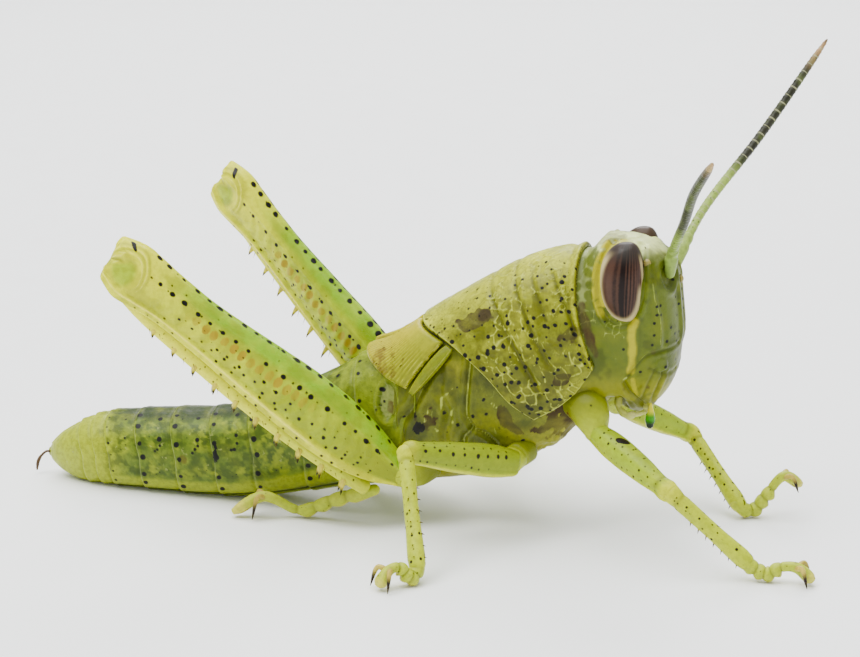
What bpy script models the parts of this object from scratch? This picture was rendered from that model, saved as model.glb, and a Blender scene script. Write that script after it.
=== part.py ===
"""Grasshopper, a large green spur-throated nymph, as a still life-size model.

The animal stands with its belly tip on the floor, its head raised, its hind thighs lifted and
their shins folded under them.  +X points to the head, +Y to the animal's left, +Z up.  The origin
is on the floor, at the middle of the model's length and width.  All sizes below are in
millimetres; finished pieces are scaled to metres.
"""
import math

import bmesh
import bpy
from mathutils import Matrix, Vector

MM = 0.001                 # metres in a millimetre
ORIGIN_X = 0.456           # from the wing base, where x is 0 below, to the middle of the length
GAP = 0.09                 # clear space left between neighbouring pieces
SHELL = 0.5                # thickness of the saddle-shaped shield and of the wing buds

# ---------------------------------------------------------------- trunk
# x, underside, back, half width
TRUNK = (
    (-22.45, 1.02, 1.60, 0.18),
    (-22.1, 0.72, 2.05, 0.55),
    (-21.4, 0.30, 2.68, 1.05),
    (-20.4, -0.04, 3.30, 1.50),
    (-19.3, -0.08, 3.80, 1.85),
    (-17.8, -0.10, 4.12, 2.08),
    (-15.5, -0.12, 4.42, 2.22),
    (-12.8, -0.12, 4.72, 2.30),
    (-10.8, -0.02, 5.08, 2.32),
    (-8.9, 0.24, 5.70, 2.36),
    (-7.0, 0.60, 6.62, 2.42),
    (-5.2, 1.00, 7.62, 2.42),
    (-3.4, 1.40, 8.72, 2.44),
    (-1.5, 1.75, 9.55, 2.55),
    (0.5, 2.05, 11.05, 2.80),
    (2.8, 2.47, 12.50, 3.04),
    (4.8, 2.95, 13.70, 3.02),
    (6.4, 4.35, 14.38, 2.92),
    (8.0, 5.65, 14.76, 2.72),
    (9.4, 6.90, 14.70, 2.40),
)
TRUNK_SIDES = 20
TRUNK_FULLNESS = 2.3       # 2 is an ellipse, more is squarer
BACK_LEAN = -0.7           # the top of an abdomen ring lies this much further back than its sides

# where each abdomen segment ends, at mid height, from the back of the thorax to the tip
ABDOMEN_BORDERS = (-0.95, -3.2, -6.4, -9.3, -11.6, -13.9, -16.1, -18.0, -18.85, -19.75)
MESOTHORAX_FRONT = 6.4
METATHORAX_FRONT = 3.0

# ---------------------------------------------------------------- shield over the thorax
SHIELD_RIM = (8.42, 15.33)                        # x, z of the front rim on the back
SHIELD_RIM_CURVE = 0.035   # the rim runs forward by this times its drop squared
NECK_CURVE = 0.009         # the same for the neck under it
NECK_FRONT = 8.7           # where the neck ends on the back
# height, x along the rear margin
SHIELD_REAR = ((6.5, 6.5), (7.4, 5.3), (8.8, 4.04), (9.8, 2.85), (10.5, 1.65), (11.1, -0.1))
SHIELD_FOOT = ((6.5, 6.5), (9.6, 9.6))            # x, z of the ends of the lower margin
SHIELD_FOOT_BOW = 0.5      # its middle hangs this far below a straight line

# ---------------------------------------------------------------- head
# height, back, front, half width
HEAD = (
    (6.80, 11.05, 11.55, 0.45),
    (7.25, 10.40, 12.25, 1.10),
    (8.00, 9.75, 12.90, 1.72),
    (8.95, 9.35, 13.32, 2.12),
    (10.1, 9.10, 13.50, 2.38),
    (11.5, 8.95, 13.54, 2.56),
    (12.9, 8.88, 13.40, 2.68),
    (14.1, 8.84, 13.22, 2.68),
    (14.85, 8.80, 12.94, 2.48),
    (15.4, 8.80, 12.50, 2.10),
    (15.77, 8.95, 11.90, 1.55),
    (16.0, 9.60, 11.30, 0.80),
)
HEAD_SIDES = 22
HEAD_FULLNESS = 2.4
MOUTH_LINE = ((9.3, 7.75), (13.6, 10.35))         # x, z: below it are the mouthparts
LABRUM_LINE = ((11.75, 6.6), (12.25, 9.6))        # x, z: in front of it is the upper lip
LABIUM_LINE = ((10.75, 6.6), (10.2, 8.5))         # x, z: behind it is the lower lip
EYE_CENTRE = (10.9, 2.26, 14.08)
EYE_HALF = (1.05, 1.0, 2.06)

MAXILLARY_PALP = ((10.5, 1.2, 7.6), (10.35, 1.5, 7.0), (10.75, 1.5, 6.62), (11.5, 1.3, 6.6))
LABIAL_PALPS = {           # the right one hangs free, the left one is folded back
    "R": ((12.1, -0.85, 7.35), (12.15, -0.95, 6.7), (12.2, -1.0, 5.85)),
    "L": ((11.9, 0.6, 7.0), (11.7, 0.55, 6.6), (11.2, 0.5, 6.35)),
}
PALP_RADII = ((0.0, 0.26), (0.45, 0.28), (0.85, 0.25), (1.0, 0.15))

# ---------------------------------------------------------------- wing buds
# angles from the back, in degrees, of the root's two ends, then x and angle of the free edge's ends
HIND_BUD = ((5.0, 52.0), (-3.2, 8.0), (-0.45, 73.0))
FORE_BUD = ((54.0, 64.0), (-0.3, 76.0), (0.0, 84.0))

# ---------------------------------------------------------------- feelers, right then left
ANTENNA_ROUTES = {
    "R": ((13.0, -1.0, 14.35), (13.22, -1.5, 15.6), (14.28, -4.4, 17.8), (15.3, -7.8, 19.95),
          (16.87, -12.3, 22.3)),
    "L": ((13.0, 0.95, 14.5), (13.25, 1.7, 15.35), (13.95, 4.1, 17.0), (16.14, 7.3, 20.2),
          (18.98, 10.5, 24.87)),
}
ANTENNA_RADII = ((0.0, 0.40), (0.05, 0.42), (0.075, 0.30), (0.1, 0.33), (0.13, 0.28), (0.5, 0.26),
                 (0.85, 0.25), (1.0, 0.16))

# ---------------------------------------------------------------- legs
# hip, knee and ankle of each leg; R is the animal's right side, at -Y
LEG_JOINTS = {
    "front_R": ((9.78, -2.75, 6.12), (14.2, -5.5, 4.17), (18.15, -5.6, 0.95)),
    "front_L": ((9.78, 2.75, 6.12), (13.2, 6.0, 3.7), (16.35, 3.5, 0.68)),
    "mid_R": ((5.32, -3.0, 4.14), (0.78, -7.0, 5.56), (2.48, -10.6, 0.85)),
    "mid_L": ((5.32, 3.0, 4.14), (0.78, 7.0, 5.56), (2.48, 10.6, 0.85)),
    "hind_R": ((-0.86, -3.15, 2.86), (-14.75, -7.5, 14.6), (-2.33, -3.3, 1.98)),
    "hind_L": ((-0.5, 3.15, 3.15), (-13.82, 6.0, 16.34), (-2.45, 3.3, 2.2)),
}
# from the body to the hip
COXA_ROUTES = {
    "front": ((8.3, 1.4, 6.2), (9.05, 2.0, 6.25), (9.65, 2.6, 6.15)),
    "mid": ((6.0, 1.8, 4.5), (5.75, 2.45, 4.25), (5.42, 2.85, 4.14)),
    "hind": ((0.35, 1.9, 3.5), (-0.2, 2.6, 3.1), (-0.78, 3.05, 2.9)),
}
COXA_RADII = {"front": (0.8, 0.76, 0.62), "mid": (0.84, 0.8, 0.64), "hind": (1.1, 0.95, 0.62)}
# along the toes: two pads, the raised claw joint and the tip of the sole between the claws
TOE_ROUTES = {
    "front_R": ((19.1, -5.5, 0.48), (19.85, -5.45, 0.85), (20.6, -5.42, 0.88), (21.45, -5.4, 0.3)),
    "front_L": ((16.95, 3.8, 0.44), (17.6, 4.0, 1.2), (18.5, 4.35, 2.3), (19.4, 4.8, 1.8)),
    "mid_R": ((2.3, -11.05, 0.48), (1.78, -11.35, 1.05), (1.35, -11.7, 0.95), (0.95, -12.25, 0.3)),
    "mid_L": ((2.3, 11.05, 0.48), (1.78, 11.35, 1.05), (1.35, 11.7, 0.95), (0.95, 12.25, 0.3)),
    "hind_R": ((-4.3, -3.2, 1.3), (-6.4, -3.2, 0.46), (-8.2, -3.65, 1.2), (-9.85, -4.1, 0.33)),
    "hind_L": ((-4.3, 3.2, 1.3), (-6.4, 3.2, 0.46), (-8.2, 3.65, 1.2), (-9.85, 4.1, 0.33)),
}
FRONT_THIGH = ((0.0, 0.52, 0.55, 0.55), (0.25, 0.66, 0.72, 0.68), (0.6, 0.62, 0.68, 0.66),
               (0.9, 0.52, 0.56, 0.54), (1.0, 0.44, 0.5, 0.5))
MID_THIGH = ((0.0, 0.54, 0.72, 0.7), (0.22, 0.66, 0.88, 0.86), (0.58, 0.62, 0.78, 0.76),
             (0.9, 0.56, 0.66, 0.62), (1.0, 0.48, 0.56, 0.54))
SMALL_SHIN = ((0.0, 0.42, 0.48, 0.46), (0.12, 0.38, 0.42, 0.42), (0.6, 0.36, 0.4, 0.4),
              (0.92, 0.42, 0.46, 0.44), (1.0, 0.38, 0.42, 0.4))
HIND_THIGH = ((0.0, 0.45, 0.75, 0.5), (0.06, 0.62, 1.12, 1.05), (0.15, 0.8, 1.5, 1.5),
              (0.26, 0.96, 1.72, 1.68), (0.38, 0.98, 1.74, 1.62), (0.53, 0.9, 1.56, 1.45),
              (0.7, 0.76, 1.38, 1.25), (0.82, 0.72, 1.45, 1.2), (0.9, 0.76, 1.58, 1.36),
              (0.95, 0.78, 1.62, 1.42), (1.0, 0.62, 1.3, 1.1))
HIND_SHIN_HALF, HIND_SHIN_RISE = 0.38, 0.72       # the room the groove leaves for the shin
LIP = 0.14                 # thickness of the groove's lips
THIGH_ROLL = 12.0          # degrees that each hind thigh's lower edge is turned outward
HIND_SHIN_DEPTHS = ((0.5, 0.35), (1.7, 0.98), (5.0, 1.4), (11.0, 1.72))   # from knee, below thigh axis
HIND_SHIN = ((0.0, 0.28, 0.32, 0.36), (0.08, 0.35, 0.41, 0.46), (0.5, 0.34, 0.41, 0.46),
             (0.9, 0.36, 0.42, 0.48), (1.0, 0.36, 0.4, 0.42))
SHIN_SPINES = 10           # in each of two rows
FIRST_SPINE, LAST_SPINE = 0.2, 0.93               # fractions of the shin's length
SPINE_BASE = 0.022
SPINE_LENGTHS = (0.4, 0.85)                       # nearest the knee and nearest the ankle
KNEE_RADIUS = 0.56
ANKLE_GAP = 0.44           # from the joint to the end of the shin
FOOT = ((0.0, 0.32, 0.3, 0.32), (0.14, 0.42, 0.34, 0.42), (0.28, 0.42, 0.34, 0.44),
        (0.38, 0.34, 0.3, 0.34), (0.47, 0.4, 0.32, 0.44), (0.56, 0.26, 0.25, 0.26),
        (0.76, 0.29, 0.29, 0.29), (0.88, 0.36, 0.3, 0.34), (0.96, 0.36, 0.28, 0.32),
        (1.0, 0.2, 0.16, 0.18))
CLAW_RADII = ((0.0, 0.15), (0.5, 0.14), (1.0, 0.04))
CLAW_DROP = 0.2            # a claw's point is this much lower than the tip of the sole

GREEN = (0.42, 0.47, 0.07)
DARK_GREEN = (0.2, 0.27, 0.05)
YELLOW_GREEN = (0.58, 0.62, 0.12)
PALE_GREEN = (0.55, 0.6, 0.3)
EYE_BROWN = (0.16, 0.06, 0.05)


def smooth_rows(rows, where):
    """Values of a table of rows at one place, joined by a smooth curve through the rows."""
    last = len(rows) - 2
    i = 0
    while i < last and where > rows[i + 1][0]:
        i += 1
    a, b = rows[i], rows[i + 1]
    before, after = rows[max(i - 1, 0)], rows[min(i + 2, len(rows) - 1)]
    span = b[0] - a[0]
    t = min(max((where - a[0]) / span, 0.0), 1.0)
    values = []
    for k in range(1, len(a)):
        start = (b[k] - before[k]) / (b[0] - before[0]) * span
        end = (after[k] - a[k]) / (after[0] - a[0]) * span
        values.append(a[k] * (2 * t ** 3 - 3 * t ** 2 + 1) + start * (t ** 3 - 2 * t ** 2 + t)
                      + b[k] * (3 * t ** 2 - 2 * t ** 3) + end * (t ** 3 - t ** 2))
    return values


def smooth_route(points, where):
    """The place a fraction of the way along a smooth route through points."""
    lengths = [0.0]
    for a, b in zip(points, points[1:]):
        lengths.append(lengths[-1] + (Vector(b) - Vector(a)).length)
    rows = [(length / lengths[-1], *point) for length, point in zip(lengths, points)]
    return Vector(smooth_rows(rows, where))


def corner(value, power):
    """A cosine or sine pushed outward, for a rounded-square section."""
    return math.copysign(abs(value) ** (2.0 / power), value)


def loft(rings):
    """A closed body through rings of equally many points, each end closed by a fan of faces."""
    body = bmesh.new()
    loops = [[body.verts.new(point) for point in ring] for ring in rings]
    for low, high in zip(loops, loops[1:]):
        for i in range(len(low)):
            j = (i + 1) % len(low)
            body.faces.new((low[i], low[j], high[j], high[i]))
    for loop in (loops[0], loops[-1]):
        hub = body.verts.new(sum((vert.co for vert in loop), Vector()) / len(loop))
        for i, vert in enumerate(loop):
            body.faces.new((vert, loop[(i + 1) % len(loop)], hub))
    bmesh.ops.recalc_face_normals(body, faces=body.faces)
    if body.calc_volume(signed=True) < 0:
        bmesh.ops.reverse_faces(body, faces=body.faces)
    return body


def limb(route, rows, up, sides, power=2.0):
    """A loft along a route; rows give half width, rise and drop at fractions of its length."""
    rings = []
    for where, half_width, rise, drop in rows:
        centre = smooth_route(route, where)
        ahead = smooth_route(route, min(where + 0.02, 1.0))
        behind = smooth_route(route, max(where - 0.02, 0.0))
        along = (ahead - behind).normalized()
        side = Vector(up).cross(along).normalized()
        top = along.cross(side)
        ring = []
        for i in range(sides):
            angle = 2 * math.pi * (i + 0.5) / sides
            across = corner(math.cos(angle), power) * half_width
            lift = corner(math.sin(angle), power)
            lift *= rise if lift > 0 else drop
            ring.append(centre + side * across + top * lift)
        rings.append(ring)
    return loft(rings)


def tube(route, radii, sides):
    """A round limb; radii are (fraction, radius) rows."""
    rows = [(where, radius, radius, radius) for where, radius in radii]
    return limb(route, rows, (0.13, 0.21, 0.97), sides)


def ball(centre, half, segments, rings):
    """An ellipsoid."""
    body = bmesh.new()
    shape = Matrix.Translation(centre) @ Matrix.Diagonal((*half, 1.0))
    bmesh.ops.create_uvsphere(body, u_segments=segments, v_segments=rings, radius=1.0, matrix=shape)
    return body


def fattened(body, gap=GAP):
    """A copy of a body, grown by the gap all round."""
    copy = body.copy()
    copy.normal_update()
    places = [(vert, vert.co + vert.normal * gap * 1.15) for vert in copy.verts]
    for vert, place in places:
        vert.co = place
    return copy


def faceted(body):
    """A copy of a body in triangles."""
    copy = body.copy()
    bmesh.ops.triangulate(copy, faces=copy.faces, ngon_method="EAR_CLIP")
    return copy


def combine(body, other, operation):
    """The exact Boolean of two closed bodies, as a new body."""
    objects = []
    for shape in (body, other):
        mesh = bpy.data.meshes.new("operand")
        faceted(shape).to_mesh(mesh)
        objects.append(bpy.data.objects.new("operand", mesh))
        bpy.context.scene.collection.objects.link(objects[-1])
    cut = objects[0].modifiers.new("cut", "BOOLEAN")
    cut.operation = operation
    cut.object = objects[1]
    cut.solver = "EXACT"
    evaluated = objects[0].evaluated_get(bpy.context.evaluated_depsgraph_get())
    result = bmesh.new()
    result.from_mesh(evaluated.to_mesh())
    evaluated.to_mesh_clear()
    for thing in objects:
        mesh = thing.data
        bpy.data.objects.remove(thing)
        bpy.data.meshes.remove(mesh)
    bmesh.ops.dissolve_degenerate(result, edges=result.edges, dist=0.001)
    return faceted(result)


def clear_of(body, *neighbours):
    """The body with room cut out for its neighbours."""
    for neighbour in neighbours:
        body = combine(body, fattened(neighbour), "DIFFERENCE")
    return body


def keep_side(body, point, normal, clear=GAP / 2):
    """The part of a body on one side of a plane, drawn back from it and closed with a flat face."""
    copy = body.copy()
    normal = Vector(normal).normalized()
    start = Vector(point) + normal * clear
    everything = copy.verts[:] + copy.edges[:] + copy.faces[:]
    cut = bmesh.ops.bisect_plane(copy, geom=everything, plane_co=start, plane_no=-normal,
                                 clear_outer=True)
    rim = [item for item in cut["geom_cut"] if isinstance(item, bmesh.types.BMEdge)]
    bmesh.ops.holes_fill(copy, edges=rim, sides=0)
    return faceted(copy)


def line_normal(line):
    """The upward normal, in the XZ plane, of a line given by two (x, z) points."""
    (x0, z0), (x1, z1) = line
    normal = Vector((z0 - z1, 0.0, x1 - x0))
    return normal if normal.z > 0 else -normal


def line_behind(line):
    """The normal, in the XZ plane, that points to the back of a steep line."""
    (x0, z0), (x1, z1) = line
    normal = Vector((z1 - z0, 0.0, x0 - x1))
    return normal if normal.x < 0 else -normal


def line_point(line):
    return Vector((line[0][0], 0.0, line[0][1]))


def mirrored(point):
    return (point[0], -point[1], point[2])


def steps(count, start=0.0):
    """Even fractions from start to 1."""
    return [start + (1.0 - start) * i / count for i in range(count + 1)]


# ---------------------------------------------------------------- finished pieces
def make_material(name, colour, roughness=0.4):
    material = bpy.data.materials.new(name)
    material.use_nodes = True
    shader = material.node_tree.nodes["Principled BSDF"]
    shader.inputs["Base Color"].default_value = (*colour, 1.0)
    shader.inputs["Roughness"].default_value = roughness
    shader.inputs["Metallic"].default_value = 0.0
    return material


def add_piece(name, body, colour, roughness=0.4):
    """Puts a body into the scene, in metres, as a named object with its own material."""
    mesh = bpy.data.meshes.new(name)
    faceted(body).to_mesh(mesh)
    mesh.transform(Matrix.Scale(MM, 4) @ Matrix.Translation((ORIGIN_X, 0.0, 0.0)))
    mesh.shade_smooth()
    mesh.set_sharp_from_angle(angle=math.radians(40))
    mesh.materials.append(make_material(name, colour, roughness))
    piece = bpy.data.objects.new(name, mesh)
    bpy.data.collections["grasshopper"].objects.link(piece)
    return piece


# ---------------------------------------------------------------- trunk
def on_trunk(x, angle, grow=0.0):
    """The point of the trunk's surface at x and an angle from the back, moved out by grow."""
    low, high, half_width = smooth_rows(TRUNK, x)
    middle, rise = (low + high) / 2, (high - low) / 2 + grow
    return Vector((x, corner(math.sin(angle), TRUNK_FULLNESS) * (half_width + grow),
                   middle + corner(math.cos(angle), TRUNK_FULLNESS) * rise))


def trunk_ring(x, lean=0.0, rim=0.0):
    """Points round the trunk at x; lean moves the back along x, rim moves the foot forward."""
    top = on_trunk(x, 0.0).z
    ring = []
    for i in range(TRUNK_SIDES):
        angle = 2 * math.pi * i / TRUNK_SIDES
        shift = lean * max(math.cos(angle), 0.0) + rim * (top - on_trunk(x, angle).z) ** 2
        ring.append(on_trunk(x + shift, angle))
    return ring


def trunk_length(rear, front, rear_lean, front_lean, count):
    """A length of the trunk between two borders, closed at both ends."""
    rings = []
    for part in steps(count):
        x = rear + (front - rear) * part
        rings.append(trunk_ring(x, rear_lean + (front_lean - rear_lean) * part))
    return loft(rings)


def make_abdomen():
    bodies = {}
    borders = ABDOMEN_BORDERS
    leans = [0.0] + [BACK_LEAN] * (len(borders) - 1)
    for number in range(1, len(borders)):
        front, rear = borders[number - 1], borders[number]
        count = 2 if front - rear > 1.0 else 1
        body = trunk_length(rear + GAP / 2, front - GAP / 2, leans[number], leans[number - 1], count)
        bodies[f"abdomen_{number}"] = keep_side(body, (0, 0, 0), (0, 0, 1), 0.0)
    end, tip_front = TRUNK[0][0], borders[-1] - GAP / 2
    rings = [trunk_ring(x, BACK_LEAN * (x - end) / (tip_front - end))
             for x in (end, -22.1, -21.4, -20.5, tip_front)]
    bodies["abdomen_tip"] = keep_side(loft(rings), (0, 0, 0), (0, 0, 1), 0.0)
    return bodies


def make_thorax_core():
    """The body under the shield; towards the neck its rings lean forward with the shield's rim."""
    stations = (ABDOMEN_BORDERS[0] + GAP / 2, 0.6, 2.2, 3.8, 5.2, MESOTHORAX_FRONT, 7.6, NECK_FRONT)
    neck = NECK_FRONT - MESOTHORAX_FRONT
    return loft([trunk_ring(x, rim=NECK_CURVE * max(x - MESOTHORAX_FRONT, 0.0) / neck)
                 for x in stations])


# ---------------------------------------------------------------- plates lying on the trunk
def angle_at(x, z):
    """The angle from the back at which the shield's surface has the height z."""
    low, high, _ = smooth_rows(TRUNK, x)
    lift = (z - (low + high) / 2) / ((high - low) / 2 + SHELL + GAP)
    return math.acos(math.copysign(abs(lift) ** (TRUNK_FULLNESS / 2), lift))


def rear_margin(z):
    return smooth_rows(SHIELD_REAR, z)[0]


def front_rim(z):
    return SHIELD_RIM[0] + SHIELD_RIM_CURVE * (SHIELD_RIM[1] - z) ** 2


def margin_x(margin, angle):
    """The x at which a margin, given as x by height, crosses an angle of the shield's surface."""
    x = 4.0
    for _ in range(30):
        x = (x + margin(on_trunk(x, angle, SHELL + GAP).z)) / 2
    return x


def shield_place(along, across):
    """x and angle on the saddle-shaped shield; across runs from -1 to 1, over the back."""
    (x0, z0), (x1, z1) = SHIELD_FOOT
    foot_x = x0 + (x1 - x0) * along
    foot_z = z0 + (z1 - z0) * along - SHIELD_FOOT_BOW * math.sin(math.pi * along)
    angle = angle_at(foot_x, foot_z) * across
    rear, front = margin_x(rear_margin, angle), margin_x(front_rim, angle)
    return rear + (front - rear) * along, angle


def bud_place(bud, along, across):
    """x and angle on a wing bud, from the shield's rear margin back to its free edge."""
    (root_high, root_low), (high_x, high_angle), (low_x, low_angle) = bud
    root = math.radians(root_high + (root_low - root_high) * across)
    free = math.radians(high_angle + (low_angle - high_angle) * across)
    root_x = margin_x(rear_margin, root) - 1.3 * GAP
    free_x = high_x + (low_x - high_x) * across
    return root_x + (free_x - root_x) * along, root + (free - root) * along


def plate(place, alongs, acrosses, sign=1):
    """A shell of even thickness over the trunk, through places at rows of fractions."""
    body = bmesh.new()
    sheets = []
    for grow in (GAP, GAP + SHELL):
        sheet = []
        for along in alongs:
            points = [on_trunk(*place(along, across), grow) for across in acrosses]
            sheet.append([body.verts.new((x, y * sign, z)) for x, y, z in points])
        sheets.append(sheet)
    last, end = len(alongs) - 1, len(acrosses) - 1
    for sheet in sheets:
        for i in range(last):
            for j in range(end):
                body.faces.new((sheet[i][j], sheet[i + 1][j], sheet[i + 1][j + 1], sheet[i][j + 1]))
    edge = [(i, 0) for i in range(last)] + [(last, j) for j in range(end)]
    edge += [(i, end) for i in range(last, 0, -1)] + [(0, j) for j in range(end, 0, -1)]
    for (i, j), (k, m) in zip(edge, edge[1:] + edge[:1]):
        body.faces.new((sheets[0][i][j], sheets[0][k][m], sheets[1][k][m], sheets[1][i][j]))
    bmesh.ops.recalc_face_normals(body, faces=body.faces)
    return body


def make_plates():
    """The shield and the two pairs of wing buds."""
    bodies = {"pronotum": plate(shield_place, steps(8), steps(16, -1.0))}
    for side, sign in (("R", -1), ("L", 1)):
        for name, bud, count in (("hindwing", HIND_BUD, 4), ("forewing", FORE_BUD, 1)):
            body = plate(lambda *where, bud=bud: bud_place(bud, *where), steps(5), steps(count), sign)
            bodies[f"{name}_bud_{side}"] = body
    return bodies


# ---------------------------------------------------------------- head
def make_head():
    rings = []
    for z, back, front, half_width in HEAD:
        middle, reach = (back + front) / 2, (front - back) / 2
        ring = []
        for i in range(HEAD_SIDES):
            angle = 2 * math.pi * i / HEAD_SIDES
            ring.append((middle + corner(math.cos(angle), HEAD_FULLNESS) * reach,
                         corner(math.sin(angle), HEAD_FULLNESS) * half_width, z))
        rings.append(ring)
    return loft(rings)


def split_mouthparts(head):
    """Parts the lower head with thin cuts: capsule, upper lip, two jaws and lower lip."""
    up = line_normal(MOUTH_LINE)
    below = keep_side(head, line_point(MOUTH_LINE), -up)
    behind = keep_side(below, line_point(LABRUM_LINE), line_behind(LABRUM_LINE))
    jaws = keep_side(behind, line_point(LABIUM_LINE), -line_behind(LABIUM_LINE))
    return {"head": keep_side(head, line_point(MOUTH_LINE), up),
            "labrum": keep_side(below, line_point(LABRUM_LINE), -line_behind(LABRUM_LINE)),
            "labium": keep_side(behind, line_point(LABIUM_LINE), line_behind(LABIUM_LINE)),
            "mandible_R": keep_side(jaws, (0, 0, 0), (0, -1, 0)),
            "mandible_L": keep_side(jaws, (0, 0, 0), (0, 1, 0))}


def make_face_pieces(head):
    """Eyes, feelers and palps, each cut clear of the head."""
    bodies = {}
    for side, sign in (("R", -1), ("L", 1)):
        centre = (EYE_CENTRE[0], EYE_CENTRE[1] * sign, EYE_CENTRE[2])
        bodies[f"eye_{side}"] = clear_of(ball(centre, EYE_HALF, 12, 8), head)
        feeler = tube(ANTENNA_ROUTES[side], ANTENNA_RADII, 7)
        bodies[f"antenna_{side}"] = clear_of(feeler, head)
        route = [(x, y * sign, z) for x, y, z in MAXILLARY_PALP]
        bodies[f"maxillary_palp_{side}"] = clear_of(tube(route, PALP_RADII, 7), head)
        bodies[f"labial_palp_{side}"] = clear_of(tube(LABIAL_PALPS[side], PALP_RADII, 7), head)
    return bodies


# ---------------------------------------------------------------- legs
def leg_coxa(leg):
    kind, side = leg.split("_")
    route = COXA_ROUTES[kind]
    if side == "R":
        route = [mirrored(point) for point in route]
    radii = list(zip((0.0, 0.6, 1.0), COXA_RADII[kind]))
    return tube(route, radii, 10)


def straight(start, end, start_gap, end_gap):
    """A straight route with a gap left at each end."""
    along = (Vector(end) - Vector(start)).normalized()
    return (Vector(start) + along * start_gap, Vector(end) - along * end_gap)


def small_leg(leg):
    hip, knee, ankle = LEG_JOINTS[leg]
    thigh_rows = FRONT_THIGH if leg.startswith("front") else MID_THIGH
    thigh = limb(straight(hip, knee, GAP, GAP), thigh_rows, (0, 0, 1), 8, 2.3)
    bend = (Vector(knee) - Vector(hip)).angle(Vector(ankle) - Vector(knee))
    knee_gap = GAP + KNEE_RADIUS * math.sin(bend)
    shin = limb(straight(knee, ankle, knee_gap, ANKLE_GAP), SMALL_SHIN, (0.2, 0, 1), 8)
    return thigh, shin


def shin_rows():
    """Rows of the hind shin, with a pair of rings at each pair of spines."""
    places = [row[0] for row in HIND_SHIN[:2]]
    for where in spine_places():
        places += [where - SPINE_BASE / 2, where + SPINE_BASE / 2]
    places.append(HIND_SHIN[-1][0])
    return [(where, *smooth_rows(HIND_SHIN, where)) for where in places]


def spine_places():
    step = (LAST_SPINE - FIRST_SPINE) / (SHIN_SPINES - 1)
    return [FIRST_SPINE + step * i for i in range(SHIN_SPINES)]


def raise_spines(shin, route, down, side, back):
    """Pulls one face at each spine's root out to a point, in two rows under the shin."""
    for number, where in enumerate(spine_places()):
        length = SPINE_LENGTHS[0] + (SPINE_LENGTHS[1] - SPINE_LENGTHS[0]) * number / (SHIN_SPINES - 1)
        for lean in (-1, 1):
            root = smooth_route(route, where) + (down * 0.8 + side * lean * 0.55).normalized() * 0.45
            face = min(shin.faces, key=lambda item: (item.calc_center_median() - root).length)
            out = (face.normal + back * 0.35).normalized()
            tip = face.calc_center_median() + out * length
            bmesh.ops.poke(shin, faces=[face])["verts"][0].co = tip
    return shin


def thigh_section(half_width, rise, drop, shin_depth):
    """Points round the hind thigh, with a groove for the shin between two lips underneath."""
    lip = min(half_width * 0.96, HIND_SHIN_HALF + GAP + LIP)
    roof = min(shin_depth - HIND_SHIN_RISE - GAP, drop * 0.93)
    right = [(corner(math.sin(angle), 2.15) * half_width, corner(math.cos(angle), 2.15) * rise)
             for angle in (math.radians(35), math.radians(65), math.radians(90))]
    right.append((half_width * 0.9, -drop * 0.5))
    right.append((lip, -drop))
    right.append((lip * 0.72, -(roof + drop) / 2))
    left = [(-across, up) for across, up in reversed(right)]
    return [(0.0, rise), *right, (0.0, -roof), *left]


def hind_leg(leg):
    """The deep thigh, with the shin lying in the groove of its underside."""
    hip, knee, ankle = (Vector(joint) for joint in LEG_JOINTS[leg])
    length = (hip - knee).length
    back = (hip - knee).normalized()
    side = Vector((0, 0, 1)).cross(back).normalized()
    down = -back.cross(side) if back.cross(side).z > 0 else back.cross(side)
    outward = 1.0 if leg.endswith("L") else -1.0
    roll = math.radians(THIGH_ROLL) * outward
    side, down = (side * math.cos(roll) - down * math.sin(roll),
                  down * math.cos(roll) + side * math.sin(roll))
    depths = [*HIND_SHIN_DEPTHS, ((ankle - knee).dot(back) - ANKLE_GAP, (ankle - knee).dot(down))]
    route = [knee + back * along + down * depth for along, depth in depths]
    shin = raise_spines(limb(route, shin_rows(), -down, 8), route, down, side, back)
    rings = []
    for where, half_width, rise, drop in HIND_THIGH:
        shin_depth = smooth_rows(depths, length * (1 - where))[0]
        centre = hip - back * length * where
        rings.append([centre + side * across - down * up
                      for across, up in thigh_section(half_width, rise, drop, shin_depth)])
    return loft(rings), shin


def make_foot(leg):
    """The jointed foot with its sole between two hooked claws, flat where it meets the floor."""
    ankle, *toes = (Vector(point) for point in (LEG_JOINTS[leg][2], *TOE_ROUTES[leg]))
    start = ankle + (toes[0] - ankle).normalized() * GAP
    foot = limb((start, *toes), FOOT, (0, 0, 1), 8)
    claw_joint, tip = toes[-2:]
    ahead = Vector((tip.x - claw_joint.x, tip.y - claw_joint.y, 0)).normalized()
    across = Vector((-ahead.y, ahead.x, 0))
    for side in (-1, 1):
        root = claw_joint + across * 0.1 * side
        bend = claw_joint + ahead * 0.3 + across * 0.48 * side + Vector((0, 0, 0.04))
        point = claw_joint + ahead * 0.6 + across * 0.7 * side
        point.z = tip.z - CLAW_DROP
        foot = combine(foot, tube((root, bend, point), CLAW_RADII, 5), "UNION")
    return keep_side(foot, (0, 0, 0), (0, 0, 1), 0.0)


def make_legs(shield):
    bodies = {}
    for leg in LEG_JOINTS:
        thigh, shin = hind_leg(leg) if leg.startswith("hind") else small_leg(leg)
        overhead = () if leg.startswith("hind") else (shield,)
        bodies[f"{leg}_coxa"] = clear_of(leg_coxa(leg), thigh, *overhead)
        bodies[f"{leg}_femur"] = thigh
        bodies[f"{leg}_tibia"] = shin
        bodies[f"{leg}_tarsus"] = make_foot(leg)
    return bodies


def clear_scene():
    for thing in list(bpy.data.objects):
        bpy.data.objects.remove(thing)


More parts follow.
